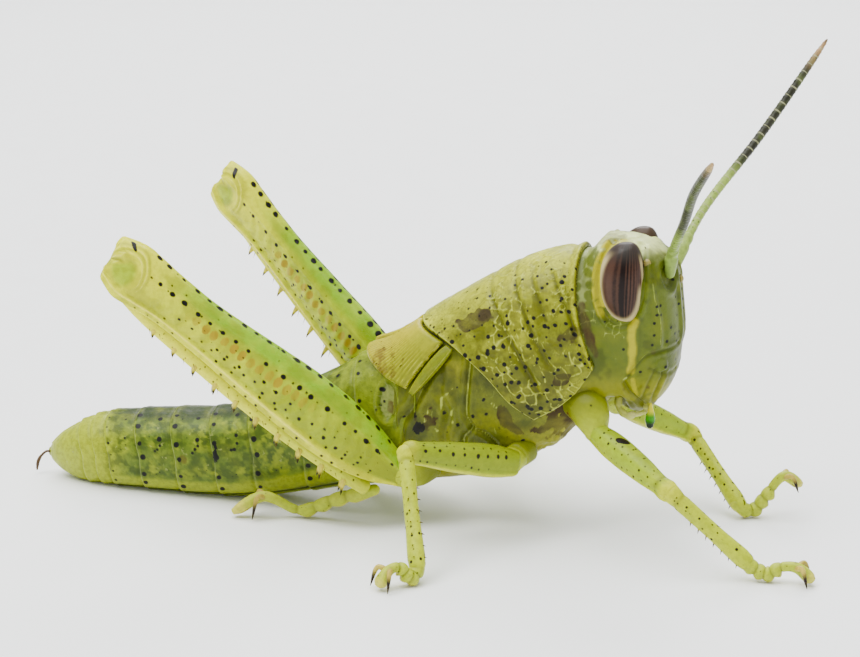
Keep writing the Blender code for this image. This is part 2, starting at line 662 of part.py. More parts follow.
def build():
    clear_scene()
    collection = bpy.data.collections.new("grasshopper")
    bpy.context.scene.collection.children.link(collection)

    head = make_head()
    core = make_thorax_core()
    abdomen = make_abdomen()
    plates = make_plates()
    legs = make_legs(plates["pronotum"])

    for name, body in split_mouthparts(head).items():
        add_piece(name, body, GREEN)
    for name, body in make_face_pieces(head).items():
        add_piece(name, body, EYE_BROWN if name.startswith("eye") else PALE_GREEN, 0.3)

    for name, body in plates.items():
        add_piece(name, body, YELLOW_GREEN)

    core = clear_of(core, *(leg_coxa(leg) for leg in LEG_JOINTS))
    add_piece("prothorax", keep_side(core, (MESOTHORAX_FRONT, 0, 0), (1, 0, 0)), GREEN)
    behind = keep_side(core, (MESOTHORAX_FRONT, 0, 0), (-1, 0, 0))
    add_piece("mesothorax", keep_side(behind, (METATHORAX_FRONT, 0, 0), (1, 0, 0)), GREEN)
    add_piece("metathorax", keep_side(behind, (METATHORAX_FRONT, 0, 0), (-1, 0, 0)), GREEN)

    for name, body in abdomen.items():
        add_piece(name, body, DARK_GREEN)
    for name, body in legs.items():
        add_piece(name, body, YELLOW_GREEN)


build()
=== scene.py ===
"""Late nymph of a bird grasshopper, life size: its skins, shield, eyes, legs and markings.

Each skin is a grid laid over the same named sizes that the solids have, in millimetres, with the
relief of the cuticle in its shape and its marks in two attributes, then placed in metres.
"""

import itertools
import math
import random

import bpy
import numpy as np
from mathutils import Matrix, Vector


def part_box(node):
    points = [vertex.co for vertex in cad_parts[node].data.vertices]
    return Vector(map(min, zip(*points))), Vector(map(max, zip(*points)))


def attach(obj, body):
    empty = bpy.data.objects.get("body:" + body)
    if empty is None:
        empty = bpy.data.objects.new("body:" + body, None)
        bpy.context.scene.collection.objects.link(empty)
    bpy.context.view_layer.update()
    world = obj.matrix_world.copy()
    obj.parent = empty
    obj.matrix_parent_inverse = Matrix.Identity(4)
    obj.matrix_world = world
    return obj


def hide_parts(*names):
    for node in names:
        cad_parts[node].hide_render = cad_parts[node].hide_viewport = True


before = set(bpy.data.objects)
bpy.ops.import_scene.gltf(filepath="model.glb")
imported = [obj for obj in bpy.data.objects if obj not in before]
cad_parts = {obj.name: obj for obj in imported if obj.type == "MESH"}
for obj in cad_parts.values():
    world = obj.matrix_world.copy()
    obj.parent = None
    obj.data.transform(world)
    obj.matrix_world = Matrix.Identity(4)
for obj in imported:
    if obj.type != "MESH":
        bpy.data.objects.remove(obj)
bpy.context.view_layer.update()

MM = 0.001                 # metres in a millimetre
GAP = 0.09                 # clear space between neighbouring solids
SHELL = 0.5                # thickness of the shield and of the wing buds
PLATE = GAP + SHELL        # the plates' outer face above the trunk

# ---------------------------------------------------------------- sizes
# x, underside, back, half width
TRUNK = (
    (-22.45, 1.02, 1.60, 0.18), (-22.1, 0.72, 2.05, 0.55), (-21.4, 0.30, 2.68, 1.05),
    (-20.4, -0.04, 3.30, 1.50), (-19.3, -0.08, 3.80, 1.85), (-17.8, -0.10, 4.12, 2.08),
    (-15.5, -0.12, 4.42, 2.22), (-12.8, -0.12, 4.72, 2.30), (-10.8, -0.02, 5.08, 2.32),
    (-8.9, 0.24, 5.70, 2.36), (-7.0, 0.60, 6.62, 2.42), (-5.2, 1.00, 7.62, 2.42),
    (-3.4, 1.40, 8.72, 2.44), (-1.5, 1.75, 9.55, 2.55), (0.5, 2.05, 11.05, 2.80),
    (2.8, 2.47, 12.50, 3.04), (4.8, 2.95, 13.70, 3.02), (6.4, 4.35, 14.38, 2.92),
    (8.0, 5.65, 14.76, 2.72), (9.4, 6.90, 14.70, 2.40),
)
TRUNK_FULLNESS = 2.3       # 2 is an ellipse, more is squarer
BACK_LEAN = -0.7           # the top of an abdomen ring lies this much further back than its sides
SEGMENT_ENDS = (-0.95, -3.2, -6.4, -9.3, -11.6, -13.9, -16.1, -18.0, -18.85, -19.75)
SHIELD_RIM = (8.42, 15.33)                        # x, z of the front rim on the back
SHIELD_RIM_CURVE = 0.035
NECK_CURVE, NECK_RUN = 0.009, 2.3
# height, x along the rear margin
SHIELD_REAR = ((6.5, 6.5), (7.4, 5.3), (8.8, 4.04), (9.8, 2.85), (10.5, 1.65), (11.1, -0.1))
SHIELD_FOOT = ((6.5, 6.5), (9.6, 9.6))            # x, z of the ends of the lower margin
SHIELD_FOOT_BOW = 0.5      # its middle hangs this far below a straight line
# height, back, front, half width
HEAD = (
    (6.80, 11.05, 11.55, 0.45), (7.25, 10.40, 12.25, 1.10), (8.00, 9.75, 12.90, 1.72),
    (8.95, 9.35, 13.32, 2.12), (10.1, 9.10, 13.50, 2.38), (11.5, 8.95, 13.54, 2.56),
    (12.9, 8.88, 13.40, 2.68), (14.1, 8.84, 13.22, 2.68), (14.85, 8.80, 12.94, 2.48),
    (15.4, 8.80, 12.50, 2.10), (15.77, 8.95, 11.90, 1.55), (16.0, 9.60, 11.30, 0.80),
)
HEAD_FULLNESS = 2.4
EYE_CENTRE = (10.9, 2.26, 14.08)
EYE_HALF = (1.05, 1.0, 2.06)
MAXILLARY_PALP = ((10.55, 1.2, 7.75), (10.6, 1.4, 7.2), (10.95, 1.45, 6.85), (11.5, 1.3, 6.82))
LABIAL_PALPS = {
    "R": ((11.95, -0.85, 7.6), (12.0, -0.92, 7.15), (12.05, -0.94, 6.85)),
    "L": ((11.9, 0.6, 7.0), (11.7, 0.55, 6.6), (11.2, 0.5, 6.35)),
}
HIND_BUD = ((5.0, 52.0), (-3.2, 8.0), (-0.45, 73.0))
FORE_BUD = ((53.0, 62.5), (-0.42, 75.0), (0.05, 81.0))
ANTENNA_ROUTES = {
    "R": ((13.0, -1.0, 14.35), (13.22, -1.5, 15.6), (14.28, -4.4, 17.8), (15.3, -7.8, 19.95),
          (16.87, -12.3, 22.3)),
    "L": ((13.0, 0.95, 14.5), (13.25, 1.7, 15.35), (13.95, 4.1, 17.0), (16.14, 7.3, 20.2),
          (18.98, 10.5, 24.87)),
}
# hip, knee and ankle of each leg; R is the animal's right side, at -Y
LEG_JOINTS = {
    "front_R": ((9.78, -2.75, 6.12), (14.2, -5.5, 4.17), (18.15, -5.6, 0.95)),
    "front_L": ((9.78, 2.75, 6.12), (13.2, 6.0, 3.7), (16.35, 3.5, 0.68)),
    "mid_R": ((5.32, -3.0, 4.14), (0.78, -7.0, 5.56), (2.48, -10.6, 0.85)),
    "mid_L": ((5.32, 3.0, 4.14), (0.78, 7.0, 5.56), (2.48, 10.6, 0.85)),
    "hind_R": ((-0.86, -3.15, 2.86), (-14.75, -7.5, 14.6), (-2.33, -3.3, 1.98)),
    "hind_L": ((-0.5, 3.15, 3.15), (-13.82, 6.0, 16.34), (-2.45, 3.3, 2.2)),
}
COXA_ROUTES = {
    "front": ((8.5, 1.5, 7.6), (9.15, 2.1, 7.2), (9.72, 2.62, 6.15)),
    "mid": ((5.7, 1.7, 4.6), (5.4, 2.4, 4.35), (5.3, 2.85, 4.14)),
    "hind": ((0.35, 1.9, 3.5), (-0.2, 2.6, 3.1), (-0.78, 3.05, 2.9)),
}
COXA_RADII = {"front": (1.1, 1.0, 0.64), "mid": (0.8, 0.72, 0.6), "hind": (1.1, 0.95, 0.62)}
TOE_ROUTES = {
    "front_R": ((19.1, -5.5, 0.48), (19.85, -5.45, 0.85), (20.6, -5.42, 0.88), (21.45, -5.4, 0.3)),
    "front_L": ((16.95, 3.8, 0.44), (17.6, 4.0, 1.2), (18.5, 4.35, 2.3), (19.4, 4.8, 1.8)),
    "mid_R": ((2.3, -11.05, 0.48), (1.78, -11.35, 1.05), (1.35, -11.7, 0.95), (0.95, -12.25, 0.3)),
    "mid_L": ((2.3, 11.05, 0.48), (1.78, 11.35, 1.05), (1.35, 11.7, 0.95), (0.95, 12.25, 0.3)),
    "hind_R": ((-4.3, -3.2, 1.3), (-6.4, -3.2, 0.46), (-8.2, -3.65, 1.2), (-9.85, -4.1, 0.33)),
    "hind_L": ((-4.3, 3.2, 1.3), (-6.4, 3.2, 0.46), (-8.2, 3.65, 1.2), (-9.85, 4.1, 0.33)),
}
# fraction of the length, half width, rise and drop
FRONT_THIGH = ((0.0, 0.5, 0.52, 0.52), (0.25, 0.66, 0.72, 0.68), (0.6, 0.6, 0.66, 0.64),
               (0.86, 0.46, 0.5, 0.5), (0.95, 0.52, 0.56, 0.54), (1.0, 0.46, 0.52, 0.5))
MID_THIGH = ((0.0, 0.54, 0.72, 0.7), (0.22, 0.66, 0.88, 0.86), (0.58, 0.62, 0.78, 0.76),
             (0.88, 0.5, 0.62, 0.6), (0.96, 0.54, 0.64, 0.6), (1.0, 0.48, 0.56, 0.54))
SMALL_SHIN = ((0.0, 0.42, 0.46, 0.44), (0.1, 0.36, 0.4, 0.4), (0.6, 0.33, 0.37, 0.37),
              (0.92, 0.4, 0.44, 0.42), (1.0, 0.36, 0.4, 0.38))
HIND_THIGH = ((0.0, 0.45, 0.75, 0.5), (0.06, 0.62, 1.12, 1.05), (0.15, 0.8, 1.5, 1.5),
              (0.26, 0.96, 1.72, 1.68), (0.38, 0.98, 1.74, 1.62), (0.53, 0.9, 1.56, 1.45),
              (0.7, 0.76, 1.38, 1.25), (0.82, 0.72, 1.45, 1.2), (0.9, 0.76, 1.58, 1.36),
              (0.95, 0.78, 1.62, 1.42), (1.0, 0.62, 1.3, 1.1))
HIND_SHIN_HALF, HIND_SHIN_RISE = 0.38, 0.72
LIP = 0.14
THIGH_ROLL = 12.0
HIND_SHIN_DEPTHS = ((0.5, 0.35), (1.7, 0.98), (5.0, 1.4), (11.0, 1.72))
HIND_SHIN = ((0.0, 0.26, 0.32, 0.36), (0.08, 0.35, 0.41, 0.46), (0.5, 0.33, 0.4, 0.45),
             (0.9, 0.36, 0.42, 0.48), (1.0, 0.34, 0.38, 0.4))
SHIN_SPINES = 10
FIRST_SPINE, LAST_SPINE = 0.2, 0.93
SPINE_LENGTHS = (0.4, 0.85)
ANKLE_GAP = 0.44
FOOT = ((0.0, 0.3, 0.3, 0.3), (0.08, 0.38, 0.34, 0.4), (0.14, 0.4, 0.34, 0.46),
        (0.19, 0.36, 0.32, 0.36), (0.25, 0.42, 0.34, 0.47), (0.31, 0.36, 0.31, 0.38),
        (0.37, 0.42, 0.32, 0.46), (0.42, 0.34, 0.3, 0.34), (0.48, 0.4, 0.31, 0.45),
        (0.55, 0.26, 0.25, 0.26), (0.76, 0.27, 0.28, 0.28), (0.86, 0.34, 0.3, 0.32),
        (0.95, 0.36, 0.26, 0.32), (1.0, 0.2, 0.16, 0.18))
CLAW_DROP = 0.2

FLOOR_CLEARANCE = 0.004    # lowest a skin that rests on the floor may lie
SIDES = ("R", -1), ("L", 1)

# how far the model's own x lies from the frame's
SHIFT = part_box("abdomen_tip")[0][0] / MM - TRUNK[0][0]

# layers of a coat: four marks, then three tints
SPOT, PALE, STAIN, DEEP, SECOND, THIRD, GLOSS = range(7)


# ---------------------------------------------------------------- curves and surfaces
def through(rows, where):
    """Values of a table of rows at many places, joined by smooth curves through the rows."""
    table = np.array(rows, float)
    where = np.asarray(where, float)
    last = len(table) - 1
    i = np.clip(np.searchsorted(table[:, 0], where) - 1, 0, last - 1)
    a, b = table[i], table[i + 1]
    before, after = table[np.maximum(i - 1, 0)], table[np.minimum(i + 2, last)]
    span = (b - a)[..., :1]
    t = np.clip((where[..., None] - a[..., :1]) / span, 0, 1)
    start = (b - before) / (b - before)[..., :1] * span
    end = (after - a) / (after - a)[..., :1] * span
    curve = (a * (2 * t ** 3 - 3 * t ** 2 + 1) + start * (t ** 3 - 2 * t ** 2 + t)
             + b * (3 * t ** 2 - 2 * t ** 3) + end * (t ** 3 - t ** 2))
    return curve[..., 1:]


def corner(value, power):
    """Cosines or sines pushed outward, for a rounded-square section."""
    return np.sign(value) * np.abs(value) ** (2.0 / power)


def step(low, high, value):
    """A soft step from 0 at low to 1 at high."""
    t = np.clip((value - low) / (high - low), 0, 1)
    return t * t * (3 - 2 * t)


def hump(value, width, middle=0.0):
    """A rounded ridge of height 1 at middle."""
    return np.exp(-((value - middle) / width) ** 2)


def route_length(route):
    return np.linalg.norm(np.diff(np.array(route, float), axis=0), axis=1).sum()


def on_route(route, where):
    """Places at fractions of the way along a smooth route through points."""
    points = np.array(route, float)
    runs = np.linalg.norm(np.diff(points, axis=0), axis=1)
    places = np.concatenate(([0.0], np.cumsum(runs))) / runs.sum()
    return through(np.column_stack((places, points)), where)


def unit(vectors):
    vectors = np.asarray(vectors, float)
    return vectors / np.linalg.norm(vectors, axis=-1, keepdims=True)


def ring_angles(count, start=-0.5):
    """Angles once round, ending where they begin; start is in half turns."""
    return start * math.pi + 2 * math.pi * np.arange(count + 1) / count


def trunk(x, angle, grow=0.0):
    """Places on the trunk at x and an angle from the back, moved out by grow."""
    x, angle = np.broadcast_arrays(np.asarray(x, float), np.asarray(angle, float))
    low, high, half = np.moveaxis(through(TRUNK, x), -1, 0)
    middle, rise = (low + high) / 2, (high - low) / 2 + grow
    across = corner(np.sin(angle), TRUNK_FULLNESS) * (half + grow)
    return np.stack((x, across, middle + corner(np.cos(angle), TRUNK_FULLNESS) * rise), -1)


def near_side(x, degrees, grow=0.0):
    """A place on the animal's right side; marks made there are repeated on its left."""
    return trunk(x, -math.radians(degrees), grow)


def folded(points):
    """The same points with the left side laid on the right."""
    copy = np.array(points)
    copy[..., 1] = -np.abs(copy[..., 1])
    return copy


# ---------------------------------------------------------------- seeded patterns
def hashed(i, j, k, seed):
    """Even random values from 0 to 1 for whole-number places."""
    n = (i * 73856093) ^ (j * 19349663) ^ (k * 83492791) ^ (seed * 40503)
    for factor in (1274126177, 73244475, 668265263):
        n = ((n ^ (n >> 13)) & 0x7FFFFFFF) * factor & 0x7FFFFFFF
    return (n ^ (n >> 15)) % 65536 / 65536.0


def cloud(points, size, seed=0):
    """Smooth random values from 0 to 1 through space."""
    place = points / size
    cell = np.floor(place).astype(np.int64)
    part = place - cell
    part = part * part * (3 - 2 * part)
    total = np.zeros(points.shape[:-1])
    for near in itertools.product((0, 1), repeat=3):
        weight = np.prod(np.where(np.array(near) == 1, part, 1 - part), axis=-1)
        total += weight * hashed(*(cell[..., k] + near[k] for k in range(3)), seed)
    return total


def clouds(points, size, seed=0):
    """Finer and finer clouds added up, from 0 to 1."""
    return (cloud(points, size, seed) * 0.55 + cloud(points, size * 0.47, seed + 1) * 0.28
            + cloud(points, size * 0.22, seed + 2) * 0.17)


def uneven(points, size, seed):
    return clouds(points, size, seed) - 0.5


def cells(s, t, size, seed=0, jitter=0.7):
    """Distances to the nearest and next seed of a loose net, and that seed's two chances."""
    near = np.full(s.shape, 9.0)
    second = np.full(s.shape, 9.0)
    chance, other = np.zeros(s.shape), np.zeros(s.shape)
    i0, j0 = np.floor(s / size).astype(np.int64), np.floor(t / size).astype(np.int64)
    margin = (1 - jitter) / 2
    for i, j in ((i0 + di, j0 + dj) for di in (-1, 0, 1) for dj in (-1, 0, 1)):
        away = np.hypot(s / size - i - margin - jitter * hashed(i, j, j * 0 + 1, seed),
                        t / size - j - margin - jitter * hashed(i, j, j * 0 + 2, seed))
        closer = away < near
        second = np.where(closer, near, np.minimum(second, away))
        chance = np.where(closer, hashed(i, j, j * 0 + 3, seed), chance)
        other = np.where(closer, hashed(i, j, j * 0 + 4, seed), other)
        near = np.where(closer, away, near)
    return near * size, second * size, chance, other


RAMP = 0.3                 # width over which a mark's value falls; the material sharpens its edge


def ramp(distance, radius):
    """1 well inside a mark, 0.5 on its edge and 0 well outside."""
    return np.clip(0.5 + (radius - distance) / RAMP, 0, 1)


def specks(s, t, size, radius, share, seed):
    """Scattered round spots; share of the cells have one."""
    near, _, chance, other = cells(s, t, size, seed)
    return ramp(near, radius * (0.7 + 0.6 * other)) * (chance < share)


def net(s, t, size, half_width, seed, jitter=0.75):
    """The raised veins between the cells of a loose net."""
    near, second, _, _ = cells(s, t, size, seed, jitter)
    return ramp((second - near) / 2, half_width)


def dot_row(chance, start, end, gap, share, least=0.7):
    """Uneven places along a row; only a share of them is used."""
    place = start
    while place < end:
        if chance.random() < share:
            yield place
        place += gap * chance.uniform(least, 2 - least)


def dots(points, places, radius):
    """Round spots at given places."""
    spots = np.zeros(points.shape[:-1])
    for place in places:
        spots = np.maximum(spots, ramp(np.linalg.norm(points - place, axis=-1), radius))
    return spots


def tracer(surface, *fixed):
    """A function that lays a line of places on a surface."""
    return lambda *places: [surface(*place, *fixed) for place in places]


def line_distance(points, line):
    """How far points lie from a smooth line through places, and how far along it."""
    route = np.array(line, float)
    if len(route) > 2:
        route = on_route(route, np.linspace(0, 1, 5 * len(route)))
    best, place = np.full(points.shape[:-1], 99.0), np.zeros(points.shape[:-1])
    for number, (a, b) in enumerate(zip(route, route[1:])):
        along = b - a
        t = np.clip((points - a) @ along / (along @ along), 0, 1)
        away = np.linalg.norm(points - a - t[..., None] * along, axis=-1)
        closer = away < best
        place = np.where(closer, (number + t) / (len(route) - 1), place)
        best = np.minimum(best, away)
    return best, place


def from_line(points, line):
    return line_distance(points, line)[0]


def blot(points, centre, size, seed, rough=0.45, grain=0.7):
    """A ragged patch; size is its half length, or three half lengths along x, y and z."""
    away = np.linalg.norm((points - np.asarray(centre, float)) / np.asarray(size, float), axis=-1)
    return step(1.25, 0.75, away + rough * uneven(points, grain, seed) * 2)


class Coat:
    """The marks and tints over a grid, in layers of values from 0 to 1."""

    def __init__(self, points):
        self.layers = np.zeros(points.shape[:-1] + (8,))

    def put(self, layer, values):
        """Lays values on a layer wherever they are stronger than what is there."""
        self.layers[..., layer] = np.maximum(self.layers[..., layer], values)

    def fade(self, layer, amount):
        self.layers[..., layer] *= 1 - amount


# ---------------------------------------------------------------- pieces from grids
def outward(points):
    """Directions that point out of a grid closed round its second index."""
    down = np.gradient(points, axis=0)
    ring = points[:, :-1]
    round_it = np.roll(ring, -1, axis=1) - np.roll(ring, 1, axis=1)
    round_it = np.concatenate((round_it, round_it[:, :1]), axis=1)
    out = np.cross(down, round_it)
    out = out / np.maximum(np.linalg.norm(out, axis=-1, keepdims=True), 1e-9)
    if np.sum(out * (points - ring.mean(axis=1, keepdims=True))) < 0:
        out = -out
    return out


def raised(points, height):
    """A closed grid with its surface moved out by a height, but not at its two ends."""
    keep = np.ones(len(points))
    keep[:2] = keep[-2:] = 0
    return points + outward(points) * (height * keep[:, None])[..., None]


def capped(points, coat):
    """Rings with each end closed to a point, and the layers that go with them."""
    first, last = (np.broadcast_to(ring[:-1].mean(axis=0), ring.shape) for ring in points[[0, -1]])
    layers = coat.layers
    return (np.concatenate((first[None], points, last[None])),
            np.concatenate((layers[:1], layers, layers[-1:])))


END_RINGS = 5              # extra rings that round off each end of a limb


def domed(centres, rings, alongs, bulges, count=END_RINGS):
    """Rings given as offsets from their centres, with a rounded end of extra rings at each end."""
    turns = np.arange(1, count + 1) / (count + 0.4) * math.pi / 2
    start = [(centres[0] - alongs[0] * bulges[0] * math.sin(t), rings[0] * math.cos(t))
             for t in turns[::-1]]
    end = [(centres[-1] + alongs[-1] * bulges[1] * math.sin(t), rings[-1] * math.cos(t))
           for t in turns]
    rows = [c + r for c, r in start] + [c + r for c, r in zip(centres, rings)]
    rows += [c + r for c, r in end]
    return np.array(rows)


def widened(rows):
    """The first and the last row repeated for the extra rings of domed."""
    return np.concatenate((np.repeat(rows[:1], END_RINGS, axis=0), rows,
                           np.repeat(rows[-1:], END_RINGS, axis=0)))


def lay(points, layers):
    """A mesh grid with its vertices on an array of places, and its touching edges merged."""
    rows, columns = points.shape[:2]
    bpy.ops.mesh.primitive_grid_add(x_subdivisions=rows - 1, y_subdivisions=columns - 1, size=2.0,
                                    calc_uvs=True)
    piece = bpy.context.object
    mesh = piece.data
    flat = np.empty(len(mesh.vertices) * 3)
    mesh.vertices.foreach_get("co", flat)
    flat = flat.reshape(-1, 3)
    i = np.rint((flat[:, 0] + 1) / 2 * (rows - 1)).astype(int)
    j = np.rint((flat[:, 1] + 1) / 2 * (columns - 1)).astype(int)
    mesh.vertices.foreach_set("co", ((points[i, j] + (SHIFT, 0, 0)) * MM).ravel())
    for name, values in (("marks", layers[..., :4]), ("tints", layers[..., 4:])):
        layer = mesh.attributes.new(name, "FLOAT_COLOR", "POINT")
        layer.data.foreach_set("color", values[i, j].astype(np.float32).ravel())
    bpy.ops.object.mode_set(mode="EDIT")
    bpy.ops.mesh.select_all(action="SELECT")
    bpy.ops.mesh.remove_doubles(threshold=2e-7)
    bpy.ops.mesh.normals_make_consistent(inside=False)
    bpy.ops.object.mode_set(mode="OBJECT")
    mesh.shade_smooth()
    return piece


def make_piece(name, grids, kind, *nodes):
    """One finished piece of several closed grids, in place of the named solids."""
    parts = [lay(*grid) for grid in grids]
    for part in parts:
        part.select_set(True)
    bpy.context.view_layer.objects.active = parts[0]
    if len(parts) > 1:
        bpy.ops.object.join()
    piece = parts[0]
    piece.name = piece.data.name = name
    slot, material = MATERIALS[kind]
    piece.data.materials.append(material)
    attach(piece, "root")
    if nodes:
        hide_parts(*nodes)


def cover(name, points, height, coat, kind, *nodes):
    """A piece of one grid, with its surface moved out by a height and its ends closed."""
    make_piece(name, [capped(raised(points, height), coat)], kind, *nodes)


def limb_grid(route, rows, up, count, around, power=2.0, bulges=(0.3, 0.3)):
    """Rounded rings along a route; the seam is underneath.

    Gives the places, how far along each lies in millimetres, and its angle from the near side:
    90 degrees is the top.
    """
    where = np.linspace(0, 1, count)
    centres = on_route(route, where)
    ahead = on_route(route, np.minimum(where + 0.02, 1))
    along = unit(ahead - on_route(route, np.maximum(where - 0.02, 0)))
    side = unit(np.cross(up, along))
    top = np.cross(along, side)
    half, rise, drop = np.moveaxis(through(rows, where), -1, 0)
    angles = ring_angles(around)
    lift = corner(np.sin(angles), power)
    lift = np.where(lift > 0, lift * rise[:, None], lift * drop[:, None])
    across = corner(np.cos(angles), power) * half[:, None]
    rings = side[:, None] * across[..., None] + top[:, None] * lift[..., None]
    points = domed(centres[:, None], rings, along[:, None], bulges)
    lengths = widened(where) * route_length(route)
    far = np.broadcast_to(lengths[:, None], points.shape[:2])
    turn = np.broadcast_to(np.degrees(angles)[None], points.shape[:2])
    return points, far, turn


def tube_grid(route, radii, count, around, bulges=(0.2, 0.2)):
    """A round limb; radii are rows of a fraction and a radius."""
    rows = [(where, radius, radius, radius) for where, radius in radii]
    return limb_grid(route, rows, (0.13, 0.21, 0.97), count, around, bulges=bulges)


# ---------------------------------------------------------------- materials
RICHNESS = 1.4            # deepens every colour, because the studio light washes them out


def tone(code, rich=RICHNESS):
    """A colour given as six hexadecimal digits, made linear and deeper."""
    return (*((value / 255) ** (2.2 * rich) for value in bytes.fromhex(code)), 1.0)


class Nodes:
    """Short ways to add and join the nodes of a tree."""

    def __init__(self, tree):
        self.tree = tree

    def add(self, kind, **settings):
        node = self.tree.nodes.new(kind)
        for name, value in settings.items():
            setattr(node, name, value)
        return node

    def join(self, output, target):
        if isinstance(output, (int, float, tuple)):
            target.default_value = output
        else:
            self.tree.links.new(output, target)

    def feed(self, node, values):
        """Joins values or outputs to inputs, each named or numbered, and gives the node back."""
        for key, value in values.items():
            self.join(value, node.inputs[key])
        return node

    def mix(self, amount, first, second):
        node = self.add("ShaderNodeMix", data_type="RGBA")
        return self.feed(node, {0: amount, 6: first, 7: second}).outputs[2]

    def math(self, operation, *values):
        node = self.add("ShaderNodeMath", operation=operation)
        return self.feed(node, dict(enumerate((*values, 0.0, 0.0)[:3]))).outputs[0]

    def spread(self, value, low, high, to_low=0.0, to_high=1.0):
        node = self.add("ShaderNodeMapRange", interpolation_type="SMOOTHSTEP")
        return self.feed(node, dict(enumerate((value, low, high, to_low, to_high)))).outputs[0]

    def noise(self, vector, scale, detail=2.0, roughness=0.5):
        node = self.add("ShaderNodeTexNoise")
        values = {"Vector": vector, "Scale": scale, "Detail": detail, "Roughness": roughness}
        return self.feed(node, values).outputs["Fac"]

    def cells(self, vector, scale):
        node = self.add("ShaderNodeTexVoronoi")
        return self.feed(node, {"Vector": vector, "Scale": scale}).outputs["Distance"]

    def parts(self, colour):
        """The red, green and blue of a colour."""
        return self.feed(self.add("ShaderNodeSeparateColor"), {0: colour}).outputs

    def place(self):
        return self.add("ShaderNodeTexCoord").outputs["Object"]

    def bump(self, height, strength, distance):
        node = self.add("ShaderNodeBump")
        return self.feed(node, {"Strength": strength, "Distance": distance, "Height": height}).outputs[0]


COLOURS = ("Base", "Second", "Third", "Vein", "Spot", "Stain", "Deep")


def make_skin_group():
    """Colour, roughness and fine relief of living skin, from its marks and tints."""
    group = bpy.data.node_groups.new("living skin", "ShaderNodeTree")
    face = group.interface
    for name in (*COLOURS, "Marks", "Tints"):
        face.new_socket(name, in_out="INPUT", socket_type="NodeSocketColor")
    for name, value in (("Deepness", 0.0), ("Gloss", 0.0), ("Mottle", 0.5), ("Roughness", 0.4),
                        ("Relief", 0.25)):
        face.new_socket(name, in_out="INPUT", socket_type="NodeSocketFloat").default_value = value
    for name, kind in (("Color", "NodeSocketColor"), ("Roughness", "NodeSocketFloat"),
                       ("Normal", "NodeSocketVector")):
        face.new_socket(name, in_out="OUTPUT", socket_type=kind)
    nodes = Nodes(group)
    given = nodes.add("NodeGroupInput").outputs
    result = nodes.add("NodeGroupOutput").inputs
    place = nodes.place()
    spot, pale, stain = nodes.parts(given["Marks"])
    second, third, _ = nodes.parts(given["Tints"])
    broad = nodes.noise(place, 900, 3.0)
    fine = nodes.noise(place, 4200, 3.0, 0.6)
    grain = nodes.cells(place, 11000)
    wobble = nodes.math("MULTIPLY_ADD", nodes.noise(place, 6000, 1.0), 0.16, -0.08)

    colour = nodes.mix(second, given["Base"], given["Second"])
    colour = nodes.mix(third, colour, given["Third"])
    patch = nodes.math("MULTIPLY", nodes.spread(broad, 0.42, 0.68), given["Mottle"])
    colour = nodes.mix(patch, colour, nodes.mix(0.45, colour, given["Second"]))
    shade = nodes.math("MULTIPLY", nodes.spread(fine, 0.62, 0.34), given["Mottle"])
    colour = nodes.mix(shade, colour, nodes.mix(0.5, colour, given["Deep"]))
    colour = nodes.mix(given["Deepness"], colour, given["Deep"])
    vein = nodes.spread(nodes.math("ADD", pale, wobble), 0.4, 0.62)
    colour = nodes.mix(vein, colour, given["Vein"])
    stain = nodes.math("MULTIPLY", nodes.spread(nodes.math("ADD", stain, wobble), 0.25, 0.7),
                       nodes.spread(broad, 0.35, 0.6, 0.62, 1.0))
    colour = nodes.mix(stain, colour, given["Stain"])
    spot = nodes.spread(nodes.math("ADD", spot, wobble), 0.42, 0.6)
    nodes.join(nodes.mix(spot, colour, given["Spot"]), result["Color"])

    rough = nodes.math("ADD", nodes.spread(broad, 0.3, 0.7, -0.06, 0.08), given["Roughness"])
    for amount, change in ((stain, 0.25), (given["Gloss"], -0.2), (spot, 0.1)):
        rough = nodes.math("MULTIPLY_ADD", amount, change, rough)
    nodes.join(rough, result["Roughness"])

    height = nodes.math("MULTIPLY", fine, 1.0)
    for amount, lift in ((grain, 0.5), (vein, 0.5), (spot, 0.35)):
        height = nodes.math("MULTIPLY_ADD", amount, lift, height)
    nodes.join(nodes.bump(height, given["Relief"], 0.00006), result["Normal"])
    return group


def new_material(name):
    material = bpy.data.materials.new(name)
    material.use_nodes = True
    shader = material.node_tree.nodes["Principled BSDF"]
    return material, Nodes(material.node_tree), shader


